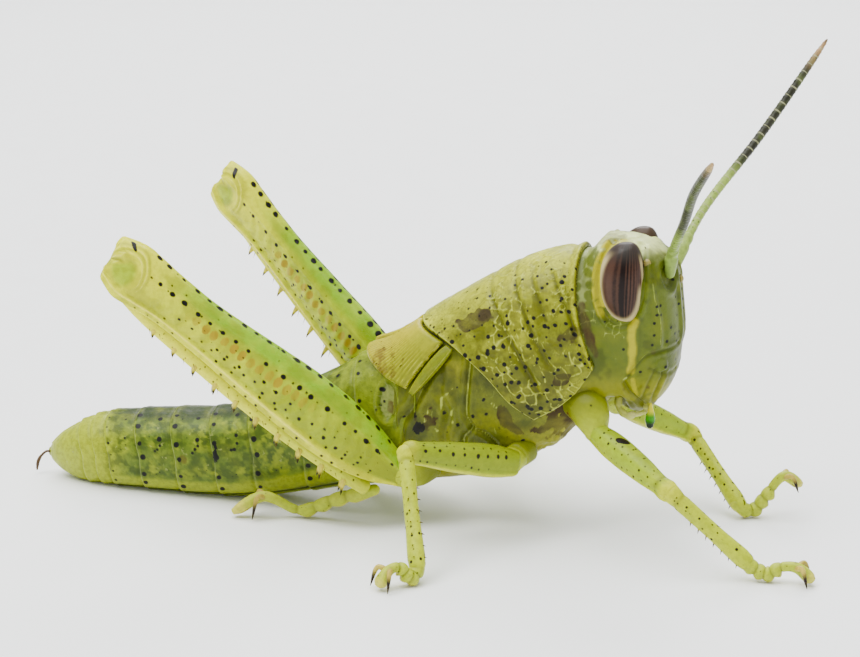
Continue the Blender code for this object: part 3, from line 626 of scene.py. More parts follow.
# each skin by its key: its slot, its name, its colours in the order of COLOURS, and the values that
# differ from the usual ones of make_skin
SKINS = {
    "abdomen": ("belly_green", "abdomen skin",
        "788a30 b4bc2c 4c543e b0b670 1e1a0e 6e5428 425418",
        {"mottle": 0.6}),
    "thorax": ("belly_green", "thorax skin",
        "808626 aeac2e 626c24 bcc468 221e12 5a4c2c 50561a",
        {}),
    "shield": ("shell_green", "shield shell",
        "8e9320 d4d64a 6a6e22 c8ce68 221e12 584e2e 646418",
        {"mottle": 0.55}),
    "bud": ("shell_green", "wing bud shell",
        "a2a81c c2ba20 8a941c d0ce64 4e3a1e 785e30 7e7e1e",
        {}),
    "head": ("shell_green", "head shell",
        "768226 c0ba14 e0e8aa bcc670 201e14 625032 545c1c",
        {"mottle": 0.2}),
    "thigh": ("limb_green", "hind thigh skin",
        "bcca14 e6e624 98be10 f0ec74 1e1a10 b49e00 8e921c",
        {"mottle": 0.35, "glow": 0.3}),
    "shin": ("limb_green", "shin skin",
        "eaea32 d0d82e c0c62e f0e896 2c2218 b0843c b0a83e",
        {"mottle": 0.35, "glow": 0.3}),
    "leg": ("limb_green", "small leg skin",
        "b0c21e d0d42e 98a81c ced264 342a1c 825c2e 888e26",
        {"glow": 0.3}),
    "foot": ("limb_green", "foot skin",
        "bec83a d4d068 969c38 dcd8a0 342a1e 78502e 848a36",
        {"glow": 0.3}),
    "feeler": ("pale_green", "near feeler skin",
        "585a4e 9eb262 bea07c acae96 2c2c26 464238 4c4c42",
        {"relief": 0.2, "glow": 0.0}),
    "far_feeler": ("pale_green", "far feeler skin",
        "525244 a8ba68 ba9e78 b8b896 28261e 423e32 3c3c32",
        {"relief": 0.2, "glow": 0.0}),
    "palp": ("pale_green", "mouth feeler skin",
        "c4c670 d6d496 a0a054 e0deaa 5a4632 8c6446 969650",
        {"glow": 0.3}),
    "spine": ("limb_green", "spine horn",
        "e2d860 281e16 c8b450 ece696 1e1812 5a3c24 a08c3c",
        {"roughness": 0.3}),
    "claw": ("limb_green", "claw horn",
        "cebe68 2c2018 967846 dcd296 1e1812 5a3c24 6e542c",
        {"roughness": 0.28}),
    "ocellus": ("pale_green", "small eye",
        "aaa064 686428 606432 e2debe 463c28 78643c 6e683c",
        {"roughness": 0.18, "relief": 0.05}),
    "bead": ("pale_green", "mouth drop",
        "5ca81e ece238 1e3a14 96c83c 182c12 3c5a1e 3c7818",
        {"mottle": 0.1, "roughness": 0.12, "relief": 0.03, "glow": 0.3}),
    "thread": ("pale_green", "dried thread",
        "74604a 968064 544230 a08c6e 54422e 54422e 46382a",
        {"roughness": 0.7, "glow": 0.0}),
}


def make_skin(group, name, codes, mottle=0.5, roughness=0.4, relief=0.25, glow=0.2):
    """A skin; glow is how much light goes through it."""
    material, nodes, shader = new_material(name)
    skin = nodes.add("ShaderNodeGroup", node_tree=group)
    nodes.feed(skin, {key: tone(code) for key, code in zip(COLOURS, codes.split())})
    nodes.feed(skin, {"Mottle": mottle, "Roughness": roughness, "Relief": relief})
    marks = nodes.add("ShaderNodeAttribute", attribute_name="marks").outputs
    tints = nodes.add("ShaderNodeAttribute", attribute_name="tints").outputs
    gloss = nodes.parts(tints["Color"])[2]
    nodes.feed(skin, {"Marks": marks["Color"], "Deepness": marks["Alpha"], "Tints": tints["Color"],
                      "Gloss": gloss})
    nodes.feed(shader, {
        "Base Color": skin.outputs["Color"], "Roughness": skin.outputs["Roughness"],
        "Normal": skin.outputs["Normal"], "Subsurface Weight": glow,
        "Subsurface Radius": (0.9, 1.0, 0.25), "Subsurface Scale": 0.0006, "Specular IOR Level": 0.2})
    return material


def make_eye_material():
    """Brown eye with darker upright stripes, a grey top that is a painted reflection of the light above, and
    a cream rim behind and below.
    """
    material, nodes, shader = new_material("striped eye")
    tints = nodes.add("ShaderNodeAttribute", attribute_name="tints")
    marks = nodes.add("ShaderNodeAttribute", attribute_name="marks")
    painted_reflection, rim, foot = nodes.parts(tints.outputs["Color"])
    stripe = nodes.parts(marks.outputs["Color"])[0]
    place = nodes.place()
    fine = nodes.noise(place, 7000, 2.0)
    stripe = nodes.math("MULTIPLY_ADD", fine, 0.2, stripe)
    colour = nodes.mix(nodes.spread(stripe, 0.3, 0.9), tone("6a5246"), tone("30201a"))
    for amount, code in ((painted_reflection, "54504c"), (rim, "cec096"), (foot, "625446")):
        colour = nodes.mix(amount, colour, tone(code))
    nodes.feed(shader, {
        "Base Color": colour, "Normal": nodes.bump(nodes.cells(place, 26000), 0.12, 0.00002),
        "Roughness": nodes.spread(fine, 0.3, 0.7, 0.3, 0.38), "Coat Weight": 0.06,
        "Specular IOR Level": 0.12, "Coat Roughness": 0.12})
    return material


def make_floor_material():
    material, nodes, shader = new_material("pale floor")
    place = nodes.place()
    tint = nodes.mix(nodes.noise(place, 30, 3.0), tone("fafbfa", 1.0), tone("fdfefd", 1.0))
    grain = nodes.spread(nodes.noise(place, 300), 0.3, 0.7, 0.5, 0.6)
    nodes.feed(shader, {"Base Color": tint, "Roughness": grain, "Specular IOR Level": 0.2})
    return material


def make_materials():
    """Every material by its key, with its slot."""
    group = make_skin_group()
    made = {key: (slot, make_skin(group, name, codes, **values))
            for key, (slot, name, codes, values) in SKINS.items()}
    made["eye"] = "eye_brown", make_eye_material()
    made["floor"] = None, make_floor_material()
    return made


MATERIALS = make_materials()


# ---------------------------------------------------------------- trunk skins
def abdomen_grid():
    """Stations from inside the thorax to the tip; each ring's back leans to the rear."""
    tip = TRUNK[0][0]
    station = np.linspace(0.0, tip, 310)
    lean = BACK_LEAN * np.minimum(np.clip((SEGMENT_ENDS[0] - station) / 2.25, 0, 1),
                                  np.clip((station - tip) / 2.7, 0, 1))
    angle = ring_angles(208, -1.0)
    x = station[:, None] + lean[:, None] * np.maximum(np.cos(angle), 0)
    return np.broadcast_arrays(station[:, None], np.abs(np.degrees(angle))) + [trunk(x, angle)]


# degrees from the back of the spots along each rear edge
EDGE_SPOTS = (22, 43, 71, 88, 108, 126)
# share of the segment's length, degrees from the back and radius of the spots inside it
INNER_SPOTS = ((0.7, 28, 0.14), (0.68, 63, 0.14), (0.5, 81, 0.09), (0.58, 78, 0.095), (0.67, 74, 0.1),
               (0.45, 108, 0.05), (0.55, 106, 0.05), (0.3, 30, 0.06), (0.42, 62, 0.06), (0.8, 100, 0.05))
SPOTTED_SEGMENTS = 8
DRUM = (-1.62, 76)         # x and degrees from the back of the hearing organ


def spot_abdomen(coat, both):
    """Rows of spots at each rear edge, and a few inside each segment."""
    chance = random.Random(11)
    ends = SEGMENT_ENDS[:SPOTTED_SEGMENTS]
    for index, end in enumerate(ends):
        lean = BACK_LEAN * min((ends[0] - end) / 2.25, 1)
        last = index == SPOTTED_SEGMENTS - 1

        def spot(x, turn, radius):
            place = near_side(x + lean * max(math.cos(math.radians(turn)), 0), turn)
            coat.put(SPOT, dots(both, [place], radius))

        for angle in EDGE_SPOTS:
            turn = angle + chance.uniform(-2, 2)
            x = end + 0.27 + chance.uniform(-0.04, 0.04)
            spot(x, turn, (0.08 if last else 0.155) * chance.uniform(0.75, 1.1))
        if index:
            for share, angle, radius in INNER_SPOTS:
                turn = angle + chance.uniform(-2, 2)
                x = end + (ends[index - 1] - end) * share
                spot(x, turn, radius * (0.6 if last else 1.0) * chance.uniform(0.8, 1.1))


def make_abdomen():
    place, side, points = abdomen_grid()
    coat = Coat(points)
    ends = np.array(SEGMENT_ENDS)
    number = np.clip(np.searchsorted(-ends, -place), 0, len(ends))
    front = np.where(number > 0, ends[np.maximum(number - 1, 0)], 0.3)
    rear = np.where(number < len(ends), ends[np.minimum(number, len(ends) - 1)], -24.0)
    to_rear, to_front = place - rear, front - place
    both = folded(points)
    body = step(-0.8, -1.6, place)
    tail = step(-17.9, -18.6, place)

    # plates that overlap like tiles, a soft fold low on the sides, a keel on the back
    height = 0.05 * step(0.0, 0.9, to_front / (front - rear)) * body
    height -= 0.085 * hump(to_front, 0.13) * body
    height += 0.03 * hump(to_rear, 0.1, 0.16) * body
    height -= 0.07 * hump(side, 4, 147) * body * (1 - tail)
    height += 0.05 * hump(side, 9, 132) * body * (1 - tail)
    height += 0.06 * hump(side, 4) * body
    height += 0.05 * uneven(points, 0.8, 5) * body * step(150, 120, side)
    height += 0.02 * uneven(points, 0.25, 9)
    height -= 0.25 * step(-0.9, -0.3, place)

    spot_abdomen(coat, both)
    coat.put(SPOT, blot(both, near_side(-11.5, 84), (0.2, 1.0, 0.46), 3, 1.2, 0.25) * 0.8)
    coat.put(STAIN, blot(both, near_side(-13.5, 88), (0.3, 1.0, 0.36), 4, 1.0, 0.4) * 0.5)

    # pale seams, light flecks, dark back, yellow lower band
    seam = ramp(np.abs(to_rear - 0.04), 0.045) * step(148, 140, side)
    coat.put(PALE, seam * body * np.where(tail > 0.5, 0.7, 0.85))
    light = step(0.5, 0.66, clouds(both * (1, 1, 1.3), 0.32, 21)) * step(30, 40, side)
    light *= step(118, 104, side) * step(0.4, 0.6, cloud(both, 0.9, 22))
    flecks = step(0.6, 0.7, clouds(both, 0.24, 26)) * step(34, 44, side) * step(112, 100, side)
    coat.put(PALE, 0.5 * flecks * body)
    # fewer dark patches and a lighter tint on the first segments: painted light that lifts the shade between
    # the hind thigh and the wing bud
    dark = (0.6 - 0.4 * step(-4.5, -2.5, place)) * step(0.58, 0.4, clouds(both, 0.36, 31))
    coat.put(DEEP, dark * (1 - light) * step(118, 108, side) * (1 - tail))
    back = step(36, 24, side + 8 * uneven(points, 0.6, 41))
    coat.put(THIRD, back * 0.9 * step(-4.5, -6.5, place) * (1 - step(-16.5, -18.2, place)))
    low = step(113, 121, side + 8 * uneven(points, 0.6, 51))
    # the 0.4 on the first segments is painted light; the other yellow tints are the abdomen's own
    for amount in (0.42 * light, 0.4 * step(-5.5, -3.5, place), 0.72 * low,
                   0.95 * step(-16.4, -18.5, place)):
        coat.put(SECOND, amount)
    coat.fade(DEEP, low)
    # dark line along the low fold: painted shade in the crease
    coat.put(DEEP, 0.95 * hump(side, 3, 149) * (1 - tail) * body)

    # the hearing organ on the first segment: an oval hollow with a pale drum
    drum = near_side(*DRUM)
    away = np.linalg.norm((both - drum) / (0.52, 3.0, 0.98), axis=-1)
    height -= 0.22 * step(1.12, 0.8, away)
    height += 0.12 * hump(away, 0.16, 1.25)
    coat.put(GLOSS, step(1.0, 0.85, away))
    face = step(1.05, 0.92, away)
    for layer in (SECOND, THIRD, DEEP):
        coat.fade(layer, face)
    coat.put(PALE, face * 0.53)
    coat.put(STAIN, blot(both, drum + (0.12, 0, -0.3), (0.22, 2.0, 0.4), 8, 1.2, 0.3) * 0.6)
    coat.put(PALE, ramp(np.abs(away - 1.3) * 0.6, 0.02) * 0.9)

    # the last ring shrinks to a rounded tip
    points = raised(points, height)
    points[..., 2] = np.maximum(points[..., 2], FLOOR_CLEARANCE)
    middle = points[-1].mean(axis=0)
    tip = [middle + (points[-1] - middle) * scale + (push, 0, 0)
           for scale, push in ((0.92, -0.06), (0.7, -0.12), (0.35, -0.16))]
    points = np.concatenate((points, tip))
    coat.layers = np.concatenate((coat.layers, np.repeat(coat.layers[-1:], len(tip), axis=0)))
    nodes = [f"abdomen_{number}" for number in range(1, 10)]
    make_piece("abdomen_skin", [capped(points, coat)], "abdomen", *nodes, "abdomen_tip")


def thorax_grid():
    """Stations from the first abdomen segment to the neck, whose rim bends forward and closes."""
    station = np.linspace(-1.25, 9.45, 165)[:, None]
    angle = ring_angles(236, -1.0)
    drop = trunk(station, 0.0)[..., 2] - trunk(station, angle)[..., 2]
    x = station + NECK_CURVE * np.maximum(station - 6.4, 0) / NECK_RUN * drop ** 2
    shrink = -0.35 * step(8.7, 9.3, station) - 0.6 * np.maximum(station - 9.05, 0) ** 2 / 0.16
    return trunk(x, angle, shrink), np.broadcast_to(np.abs(np.degrees(angle)), x.shape)


# lines on the thorax, as x and degrees from the back
MIDDLE_SUTURE = (3.05, 66), (2.95, 82), (2.88, 99), (3.2, 107), (2.69, 113), (2.75, 124)
BRANCH_SUTURE = (3.2, 107), (3.85, 113), (4.4, 122)
REAR_SUTURE = (1.64, 61), (0.32, 78), (-0.07, 86), (-0.75, 92), (-1.0, 104)
FORK_SUTURE = (1.5, 70), (1.35, 84), (1.9, 96), (1.6, 108), (1.9, 122)
PALE_STROKES = (((0.74, 88), (0.7, 92), (0.53, 97)), ((2.1, 84), (1.8, 86), (1.45, 87), (1.5, 93)),
                ((-0.38, 92), (0.02, 99), (0.1, 103)), ((4.2, 96), (4.5, 99)),
                ((4.3, 108), (4.4, 114)), ((2.3, 92), (2.0, 96), (2.1, 101)), ((0.9, 100), (1.3, 104)))
BIG_THORAX_SPOTS = (3.8, 93), (3.95, 101), (3.23, 100), (5.73, 132), (1.64, 94), (2.4, 103)
SMALL_THORAX_SPOTS = (2.36, 84), (0.44, 91), (4.6, 112), (5.0, 121), (4.2, 125)


def make_thorax():
    """The body under the shield, from the neck to the abdomen, with the sutures of its sides."""
    points, side = thorax_grid()
    coat = Coat(points)
    both = folded(points)
    trace = tracer(near_side)
    height = 0.05 * uneven(points, 1.3, 2) + 0.02 * uneven(points, 0.3, 3)
    for line, depth, width, pale, strength in (
            (MIDDLE_SUTURE, 0.13, 0.13, 0.03, 1), (BRANCH_SUTURE, 0.1, 0.12, 0.03, 1),
            (REAR_SUTURE, 0.15, 0.2, 0.02, 0.9), (FORK_SUTURE, 0.1, 0.2, 0, 0)):
        away = from_line(both, trace(*line))
        height -= depth * hump(away, width)
        height += depth * 0.7 * hump(away, 1.1 * width, 2.1 * width)
        coat.put(PALE, ramp(away, pale) * strength)
    for line in PALE_STROKES:
        away = from_line(both, trace(*line)) + 0.2 * (cloud(both, 0.25, 64) - 0.5)
        coat.put(PALE, ramp(away, 0.025))
    s, t = both[..., 0], np.radians(side) * 4.2
    patches = step(0.48, 0.62, clouds(both, 1.3, 61)) * step(72, 84, side) * step(135, 118, side)
    shift = [0.3 * cloud(both, 0.4, seed) for seed in (62, 63)]
    coat.put(PALE, net(s + shift[0], t + shift[1], 0.5, 0.0, 7) * patches * 0.95)
    coat.put(SPOT, dots(both, trace(*BIG_THORAX_SPOTS), 0.115))
    coat.put(SPOT, dots(both, trace(*SMALL_THORAX_SPOTS), 0.07))
    ringed = [np.linalg.norm(both - place, axis=-1) for place in trace(*BIG_THORAX_SPOTS[:2])]
    coat.put(PALE, ramp(np.abs(np.minimum(*ringed) - 0.22), 0.01) * 0.8)
    coat.put(SPOT, specks(s, t, 0.8, 0.045, 0.35, 12) * step(80, 95, side))
    for layer, place, size, seed, rough, grain, strength in (
            (SPOT, (0.3, 99), (0.42, 2, 0.46), 15, 1.5, 0.35, 0.8),
            (STAIN, (0.75, 96), (0.55, 2, 0.45), 16, 1.5, 0.4, 1),
            (STAIN, (7.5, 141), (0.95, 3, 0.85), 18, 1.3, 0.45, 0.8)):
        coat.put(layer, blot(both, near_side(*place), size, seed, rough, grain) * strength)
    away, run = line_distance(both, trace((4.8, 102), (5.05, 112), (5.85, 128)))
    coat.put(STAIN, step(0.42, 0.22, away + 0.3 * run ** 2 + 0.4 * uneven(both, 0.5, 17)))
    yellow = 0.6 * step(6.6, 8.4, points[..., 0]) + 0.6 * step(118, 150, side)
    yellow += 0.45 * step(0.55, 0.75, clouds(both, 1.8, 71))
    coat.put(SECOND, np.clip(yellow, 0, 0.95))
    coat.put(DEEP, 0.6 * step(0.52, 0.36, clouds(both, 1.2, 81)) * step(140, 120, side))
    height += 0.1 * hump(points[..., 0], 0.2, -1.0) * step(60, 75, side) * step(112, 98, side)
    height -= 0.3 * step(-0.95, -1.25, points[..., 0])
    # the skin that hangs below the shield's foot
    hanging = np.exp(-np.sum(((both - near_side(6.9, 158)) / (1.2, 1.6, 0.9)) ** 2, axis=-1))
    height += hanging * (0.3 + 0.5 * uneven(points, 0.45, 19))
    cover("thorax_skin", points, height, coat, "thorax", "prothorax", "mesothorax", "metathorax")


# ---------------------------------------------------------------- shield and wing buds
def height_angle(x, z):
    """The angle from the back at which the shield's outer face has the height z."""
    low, high, _ = np.moveaxis(through(TRUNK, x), -1, 0)
    lift = (z - (low + high) / 2) / ((high - low) / 2 + PLATE)
    return np.arccos(np.sign(lift) * np.abs(np.clip(lift, -1, 1)) ** (TRUNK_FULLNESS / 2))


def rear_margin(z):
    return through(SHIELD_REAR, z)[..., 0]


def front_rim(z):
    return SHIELD_RIM[0] + SHIELD_RIM_CURVE * (SHIELD_RIM[1] - z) ** 2


def margin_x(margin, angle):
    """The x at which a margin, given as x by height, crosses angles of the shield's face."""
    x = np.full(np.shape(angle), 4.0)
    for _ in range(34):
        x = (x + margin(trunk(x, angle, PLATE)[..., 2])) / 2
    return x


def shield_place(along, across):
    (x0, z0), (x1, z1) = SHIELD_FOOT
    foot_z = z0 + (z1 - z0) * along - SHIELD_FOOT_BOW * np.sin(math.pi * along)
    angle = height_angle(x0 + (x1 - x0) * along, foot_z) * across
    rear, front = margin_x(rear_margin, angle), margin_x(front_rim, angle)
    return rear + (front - rear) * along, angle


def bud_place(bud, along, across, bulge, oval):
    (root_high, root_low), (high_x, high_angle), (low_x, low_angle) = bud
    narrow = oval * (1 - np.sin(math.pi * np.clip(along, 0.02, 0.98)) ** 0.6)
    across = 0.5 + (across - 0.5) * (1 - narrow)
    root = np.radians(root_high + (root_low - root_high) * across)
    free = np.radians(high_angle + (low_angle - high_angle) * across)
    root_x = margin_x(rear_margin, root) - 1.3 * GAP
    free_x = high_x + (low_x - high_x) * across - bulge * np.sin(math.pi * across) ** 0.8
    return root_x + (free_x - root_x) * along, root + (free - root) * along


def slab(place, rows, columns, relief, edge, across_from=0.0, sign=1, thin=0.0):
    """A plate over the trunk with rounded edges; relief gives its outer face's height and coat.

    The grid runs over the outer face and back over the inner one; both meet all round the edge.
    """
    even = np.linspace(0, 1, rows)
    along = step(0, 1, even) * 0.25 + even * 0.75
    across = across_from + (1 - across_from) * np.linspace(0, 1, columns)
    along, across = np.meshgrid(along, across, indexing="ij")
    x, angle = place(along, across)
    inward = np.minimum(np.minimum(along, 1 - along),
                        np.minimum(across - across_from, 1 - across) / (1 - across_from) * 1.6)
    swell = np.sqrt(np.clip(1 - (1 - np.clip(inward / edge, 0, 1)) ** 2, 0, 1))
    inner = GAP + thin * step(0.9, 1.0, along)
    middle, half_thick = (PLATE + inner) / 2, (PLATE - inner) / 2
    face = trunk(x, angle, PLATE)
    height, coat = relief(along, across, angle, face)
    out = unit(np.cross(np.gradient(face, axis=0), np.gradient(face, axis=1)) + 1e-12)
    centre = np.stack((face[..., 0], 0 * x, 0 * x + face[..., 2].mean() - 3), -1)
    if np.sum(out * (face - centre)) < 0:
        out = -out
    base = trunk(x, angle, middle)
    outer = base + out * (swell * (half_thick + height))[..., None]
    flank = base - out * (swell * half_thick)[..., None]
    points = np.concatenate((outer, flank[:, ::-1], outer[:, :1]), axis=1)
    points[..., 1] *= sign
    layers = coat.layers
    return points, np.concatenate((layers, layers[:, ::-1] * 0, layers[:, :1]), axis=1)


# grooves of the shield as x and degrees from the back, with their depth and width
SHIELD_GROOVES = (
    (((7.2, 36), (7.43, 45), (7.75, 56), (8.25, 70), (8.6, 80)), 0.07, 0.13),
    (((5.0, 0), (5.15, 20), (5.42, 42), (5.84, 56), (6.62, 78), (7.3, 91)), 0.13, 0.17),
    (((3.7, 0), (3.85, 20), (4.17, 39), (4.98, 64), (5.61, 78), (6.29, 91), (6.8, 104)), 0.15, 0.19),
    (((6.1, 22), (6.19, 37), (6.54, 51), (7.11, 68)), 0.07, 0.15),
)
SHIELD_SPOTS = ((2.15, 56), (2.93, 68), (3.64, 72), (4.45, 70), (5.04, 81), (3.93, 79), (5.13, 60),
                (6.25, 78), (7.75, 45), (0.9, 42))
FOOT_SPOTS = ((5.75, 98), (6.2, 106), (6.85, 112), (5.4, 90), (6.6, 97), (7.2, 103), (9.3, 96),
              (7.8, 113))
EDGE_SPOT_DEGREES = range(12, 112, 11)
# x, degrees from the back, half lengths and seed of the brown blotches
SHIELD_BLOTCHES = ((3.37, 48, (1.0, 3, 0.36), 41), (1.5, 45, (0.24, 3, 0.24), 42),
                   (8.3, 80, (0.5, 3, 0.5), 43), (7.9, 101, (0.35, 3, 0.28), 44))
BLOTCH_COS, BLOTCH_SIN = 0.88, 0.47       # the blotches are tilted by 28 degrees
SHIELD_RUN, SHIELD_REACH = 9.0, 10        # millimetres along its side and from its crest to its foot


def shield_relief(along, across, angle, face):
    coat = Coat(face)
    both = folded(face)
    side = np.abs(np.degrees(angle))
    over = np.linalg.norm(np.diff(face, axis=1), axis=-1)
    t = np.concatenate((np.zeros((len(face), 1)), np.cumsum(over, axis=1)), axis=1)
    t = np.abs(t - t[:, -1:] / 2)
    s = face[..., 0] + 0.45 * (face[..., 2] - 10)
    trace = tracer(near_side, PLATE)

    # cross grooves, each with a pale ridge beside it and painted shade along the groove
    height = 0.035 * uneven(face, 1.2, 4) + 0.02 * uneven(face, 0.28, 5)
    groove_shade = 0 * angle
    sides = 0.4 + 0.6 * step(25, 50, side)
    broken = step(0.42, 0.56, clouds(both, 0.9, 33))
    for groove, depth, width in SHIELD_GROOVES:
        line = np.array(trace(*groove))
        away = from_line(both, line)
        height -= depth * hump(away, width) * sides
        groove_shade = np.maximum(groove_shade, hump(away, 0.8 * width) * sides)
        ridge = from_line(both, line + (0.26, 0, 0.05))
        height += 0.035 * hump(ridge, 0.1) * sides
        coat.put(PALE, ramp(ridge, 0.02) * broken)

    # raised pale net where the shell is roughest, smoother behind the last groove on the back
    rough = step(0.37, 0.5, clouds(both, 1.5, 14)) * step(2.6, 3.8, face[..., 0])
    rough *= step(0.06, 0.11, np.minimum(along, 1 - along)) * step(4, 13, side)
    fine_net = net(s + 0.35 * cloud(both, 0.5, 3), t + 0.35 * cloud(both, 0.5, 4), 0.58, 0.02, 5)
    fine_net *= step(0.36, 0.5, clouds(both, 0.5, 94))
    wavy = ramp(np.abs(uneven(both, 0.7, 91)) * 2.0, 0.024) * step(0.44, 0.56, clouds(both, 1.3, 92))
    wavy *= step(2.6, 4.2, face[..., 0]) * 0.95 * step(6, 16, side)
    veins = np.maximum(fine_net * rough, wavy)
    coat.put(PALE, veins)
    height += 0.05 * step(0.3, 0.7, veins)
    height -= 0.03 * step(0.55, 0.75, clouds(both, 0.9, 95))

    # black spots: bigger low on the sides, small brown ones on the back
    coat.put(SPOT, specks(s, t, 0.8, 0.105, 0.78, 6) * step(42, 60, side))
    coat.put(SPOT, specks(s + 0.4, t + 0.2, 0.75, 0.08, 0.7, 8) * step(8, 16, side))
    coat.put(SPOT, specks(s, t, 0.45, 0.04, 0.5, 10) * step(60, 48, side))
    edge_x = margin_x(rear_margin, np.radians(EDGE_SPOT_DEGREES)) + 0.22
    for spots, radius in ((SHIELD_SPOTS, 0.13), (FOOT_SPOTS, 0.12), (zip(edge_x, EDGE_SPOT_DEGREES), 0.07)):
        coat.put(SPOT, dots(both, trace(*spots), radius))

    # rims: a pale line all round, a brown hollow behind the front rim
    rim_away = np.minimum(along, 1 - along) * SHIELD_RUN
    foot_away = (1 - np.abs(across)) * SHIELD_REACH
    coat.put(PALE, ramp(np.abs(np.minimum(along * SHIELD_RUN, foot_away) - 0.14), 0.03))
    height += 0.07 * hump(rim_away, 0.1, 0.12) + 0.05 * hump(foot_away, 0.12, 0.12)
    collar = (1 - along) * SHIELD_RUN
    height += 0.08 * hump(collar, 0.16, 0.22) - 0.08 * hump(collar, 0.2, 0.62)
    coat.put(STAIN, 0.62 * hump(collar, 0.13, 0.02))
    coat.put(STAIN, 0.42 * hump(collar, 0.12, 0.6) * step(40, 60, side))

    for x, degrees, size, seed in SHIELD_BLOTCHES:
        apart = both - near_side(x, degrees, PLATE)
        tilted = np.stack((apart[..., 0] * BLOTCH_COS + apart[..., 2] * BLOTCH_SIN, 0 * side,
                           apart[..., 2] * BLOTCH_COS - apart[..., 0] * BLOTCH_SIN), -1)
        coat.put(STAIN, blot(tilted, (0, 0, 0), size, seed, 1.1))
    # yellow on the back: partly the shell's own colour, partly painted light from above; the yellow clouds
    # are its own
    coat.put(SECOND, 0.55 * step(66, 20, side) + 0.35 * step(0.5, 0.75, clouds(both, 1.9, 98)))
    # no yellow in the grooves: part of their painted shade
    coat.fade(SECOND, step(0.3, 0.6, groove_shade))
    coat.put(SECOND, 0.6 * hump(collar, 0.16, 0.32))
    # dark olive low on the sides: partly the shell's own colour, partly painted shade
    coat.put(THIRD, 0.75 * step(66, 98, side + 12 * uneven(both, 1.5, 99)) * step(7.9, 6.6, s))
    between = (1 - step(0.3, 0.6, veins)) * step(24, 50, side)
    # darker green: painted shade in the grooves, then darker patches of the shell and dark edges of the net
    for amount in (0.75 * groove_shade, 0.25 * blot(both, near_side(4.6, 84, PLATE), (0.9, 3, 0.7), 49, 0.6),
                   0.6 * step(0.55, 0.38, clouds(both, 0.6, 97)) * between,
                   0.5 * step(0.1, 0.4, fine_net) * step(0.5, 0.3, fine_net)):
        coat.put(DEEP, amount)
    return height, coat


def make_shield():
    grid = slab(shield_place, 134, 300, shield_relief, 0.035, across_from=-1.0, thin=0.26)
    make_piece("shield_shell", [grid], "shield", "pronotum")


def hind_bud_relief(along, across, angle, face):
    """A fan of fine veins with a flecked brown patch."""
    coat = Coat(face)
    both = folded(face)
    fan = across * 22 + 0.5 * np.sin(along * 3)
    vein = np.abs(fan - np.rint(fan))
    height = 0.035 * hump(vein, 0.2) * step(0.12, 0.4, along) + 0.05 * uneven(face, 0.9, 4)
    coat.put(PALE, 0.56 * hump(vein, 0.16) * step(0.25, 0.5, along))
    coat.put(DEEP, 0.5 * step(0.25, 0.5, vein) * step(0.2, 0.5, along))
    coat.put(PALE, ramp(np.minimum((1 - along) * 2.6, (1 - across) * 4), 0.05) * 0.95)
    x, run = face[..., 0], np.abs(angle) * 4.6
    zone = blot(both, near_side(-1.6, 44, PLATE), (1.05, 3, 0.9), 3, 0.7)
    coat.put(SPOT, specks(x * 0.7, run * 1.6, 0.3, 0.05, 0.85, 5) * zone)
    coat.put(STAIN, zone * 0.52 * step(0.35, 0.6, clouds(both, 0.4, 6)))
    coat.put(SPOT, specks(x, run, 0.5, 0.055, 0.6, 9) * step(0.4, 0.2, across))
    coat.put(SECOND, 0.8 * step(0.75, 0.25, across) + 0.3)
    coat.put(THIRD, 0.5 * step(0.6, 0.95, across))
    return height, coat


def fore_bud_relief(along, across, angle, face):
    coat = Coat(face)
    coat.put(PALE, 0.56 * hump(np.minimum(across, 1 - across), 0.05, 0.12))
    coat.put(THIRD, 0.85)
    coat.put(DEEP, 0.3 * hump(across, 0.1, 0.5) * step(0.9, 0.5, along))
    return 0.12 * np.sin(math.pi * across) * np.sin(math.pi * along) - 0.1, coat


# bud, how far its free edge bulges, how oval it is, rows, columns, relief, width of its round edge
BUDS = {
    "hind": (HIND_BUD, 0.75, 0.0, 60, 90, hind_bud_relief, 0.09),
    "fore": (FORE_BUD, 0.0, 0.55, 36, 24, fore_bud_relief, 0.5),
}


def make_buds():
    for side, sign in SIDES:
        for name, (bud, bulge, oval, *values) in BUDS.items():
            grid = slab(lambda along, across: bud_place(bud, along, across, bulge, oval), *values, sign=sign)
            make_piece(f"{name}_wing_bud_{side}", [grid], "bud", f"{name}wing_bud_{side}")


# ---------------------------------------------------------------- head
def head_half(x, z):
    """Half the head's width at places seen from the side."""
    back, front, half = np.moveaxis(through(HEAD, z), -1, 0)
    part = np.clip(np.abs((x - (back + front) / 2) / ((front - back) / 2)), 0, 0.985)
    return half * (1 - part ** HEAD_FULLNESS) ** (1 / HEAD_FULLNESS)


def on_head(x, z):
    """A place on the right side of the head, given as seen from the side."""
    back, front, _ = through(HEAD, z)
    x = min(max(x, back + 0.05), front - 0.03)
    return np.array((x, -head_half(x, z), z))


def head_rings(angle, z):
    """Sections of the head; the rear half is squarer and runs in under the shield's rim."""
    back, front, half = np.moveaxis(through(HEAD, z), -1, 0)[..., None]
    rear = np.cos(angle) < 0
    hidden = step(8.4, 10.0, z)[:, None]
    power = np.where(rear, 1 / (1 / HEAD_FULLNESS - 0.19 * hidden), HEAD_FULLNESS)
    along = corner(np.cos(angle), power) * ((front - back) / 2 + 0.75 * hidden * rear)
    return np.stack((along, corner(np.sin(angle), power) * half, 0 * along), -1), (back + front) / 2


def evened(places, line, count):
    """As many values of places, at equal distances along the line that goes with them."""
    runs = np.concatenate(([0], np.cumsum(np.linalg.norm(np.diff(line, axis=0), axis=1))))
    return np.interp(np.linspace(0, runs[-1], count), runs, places)


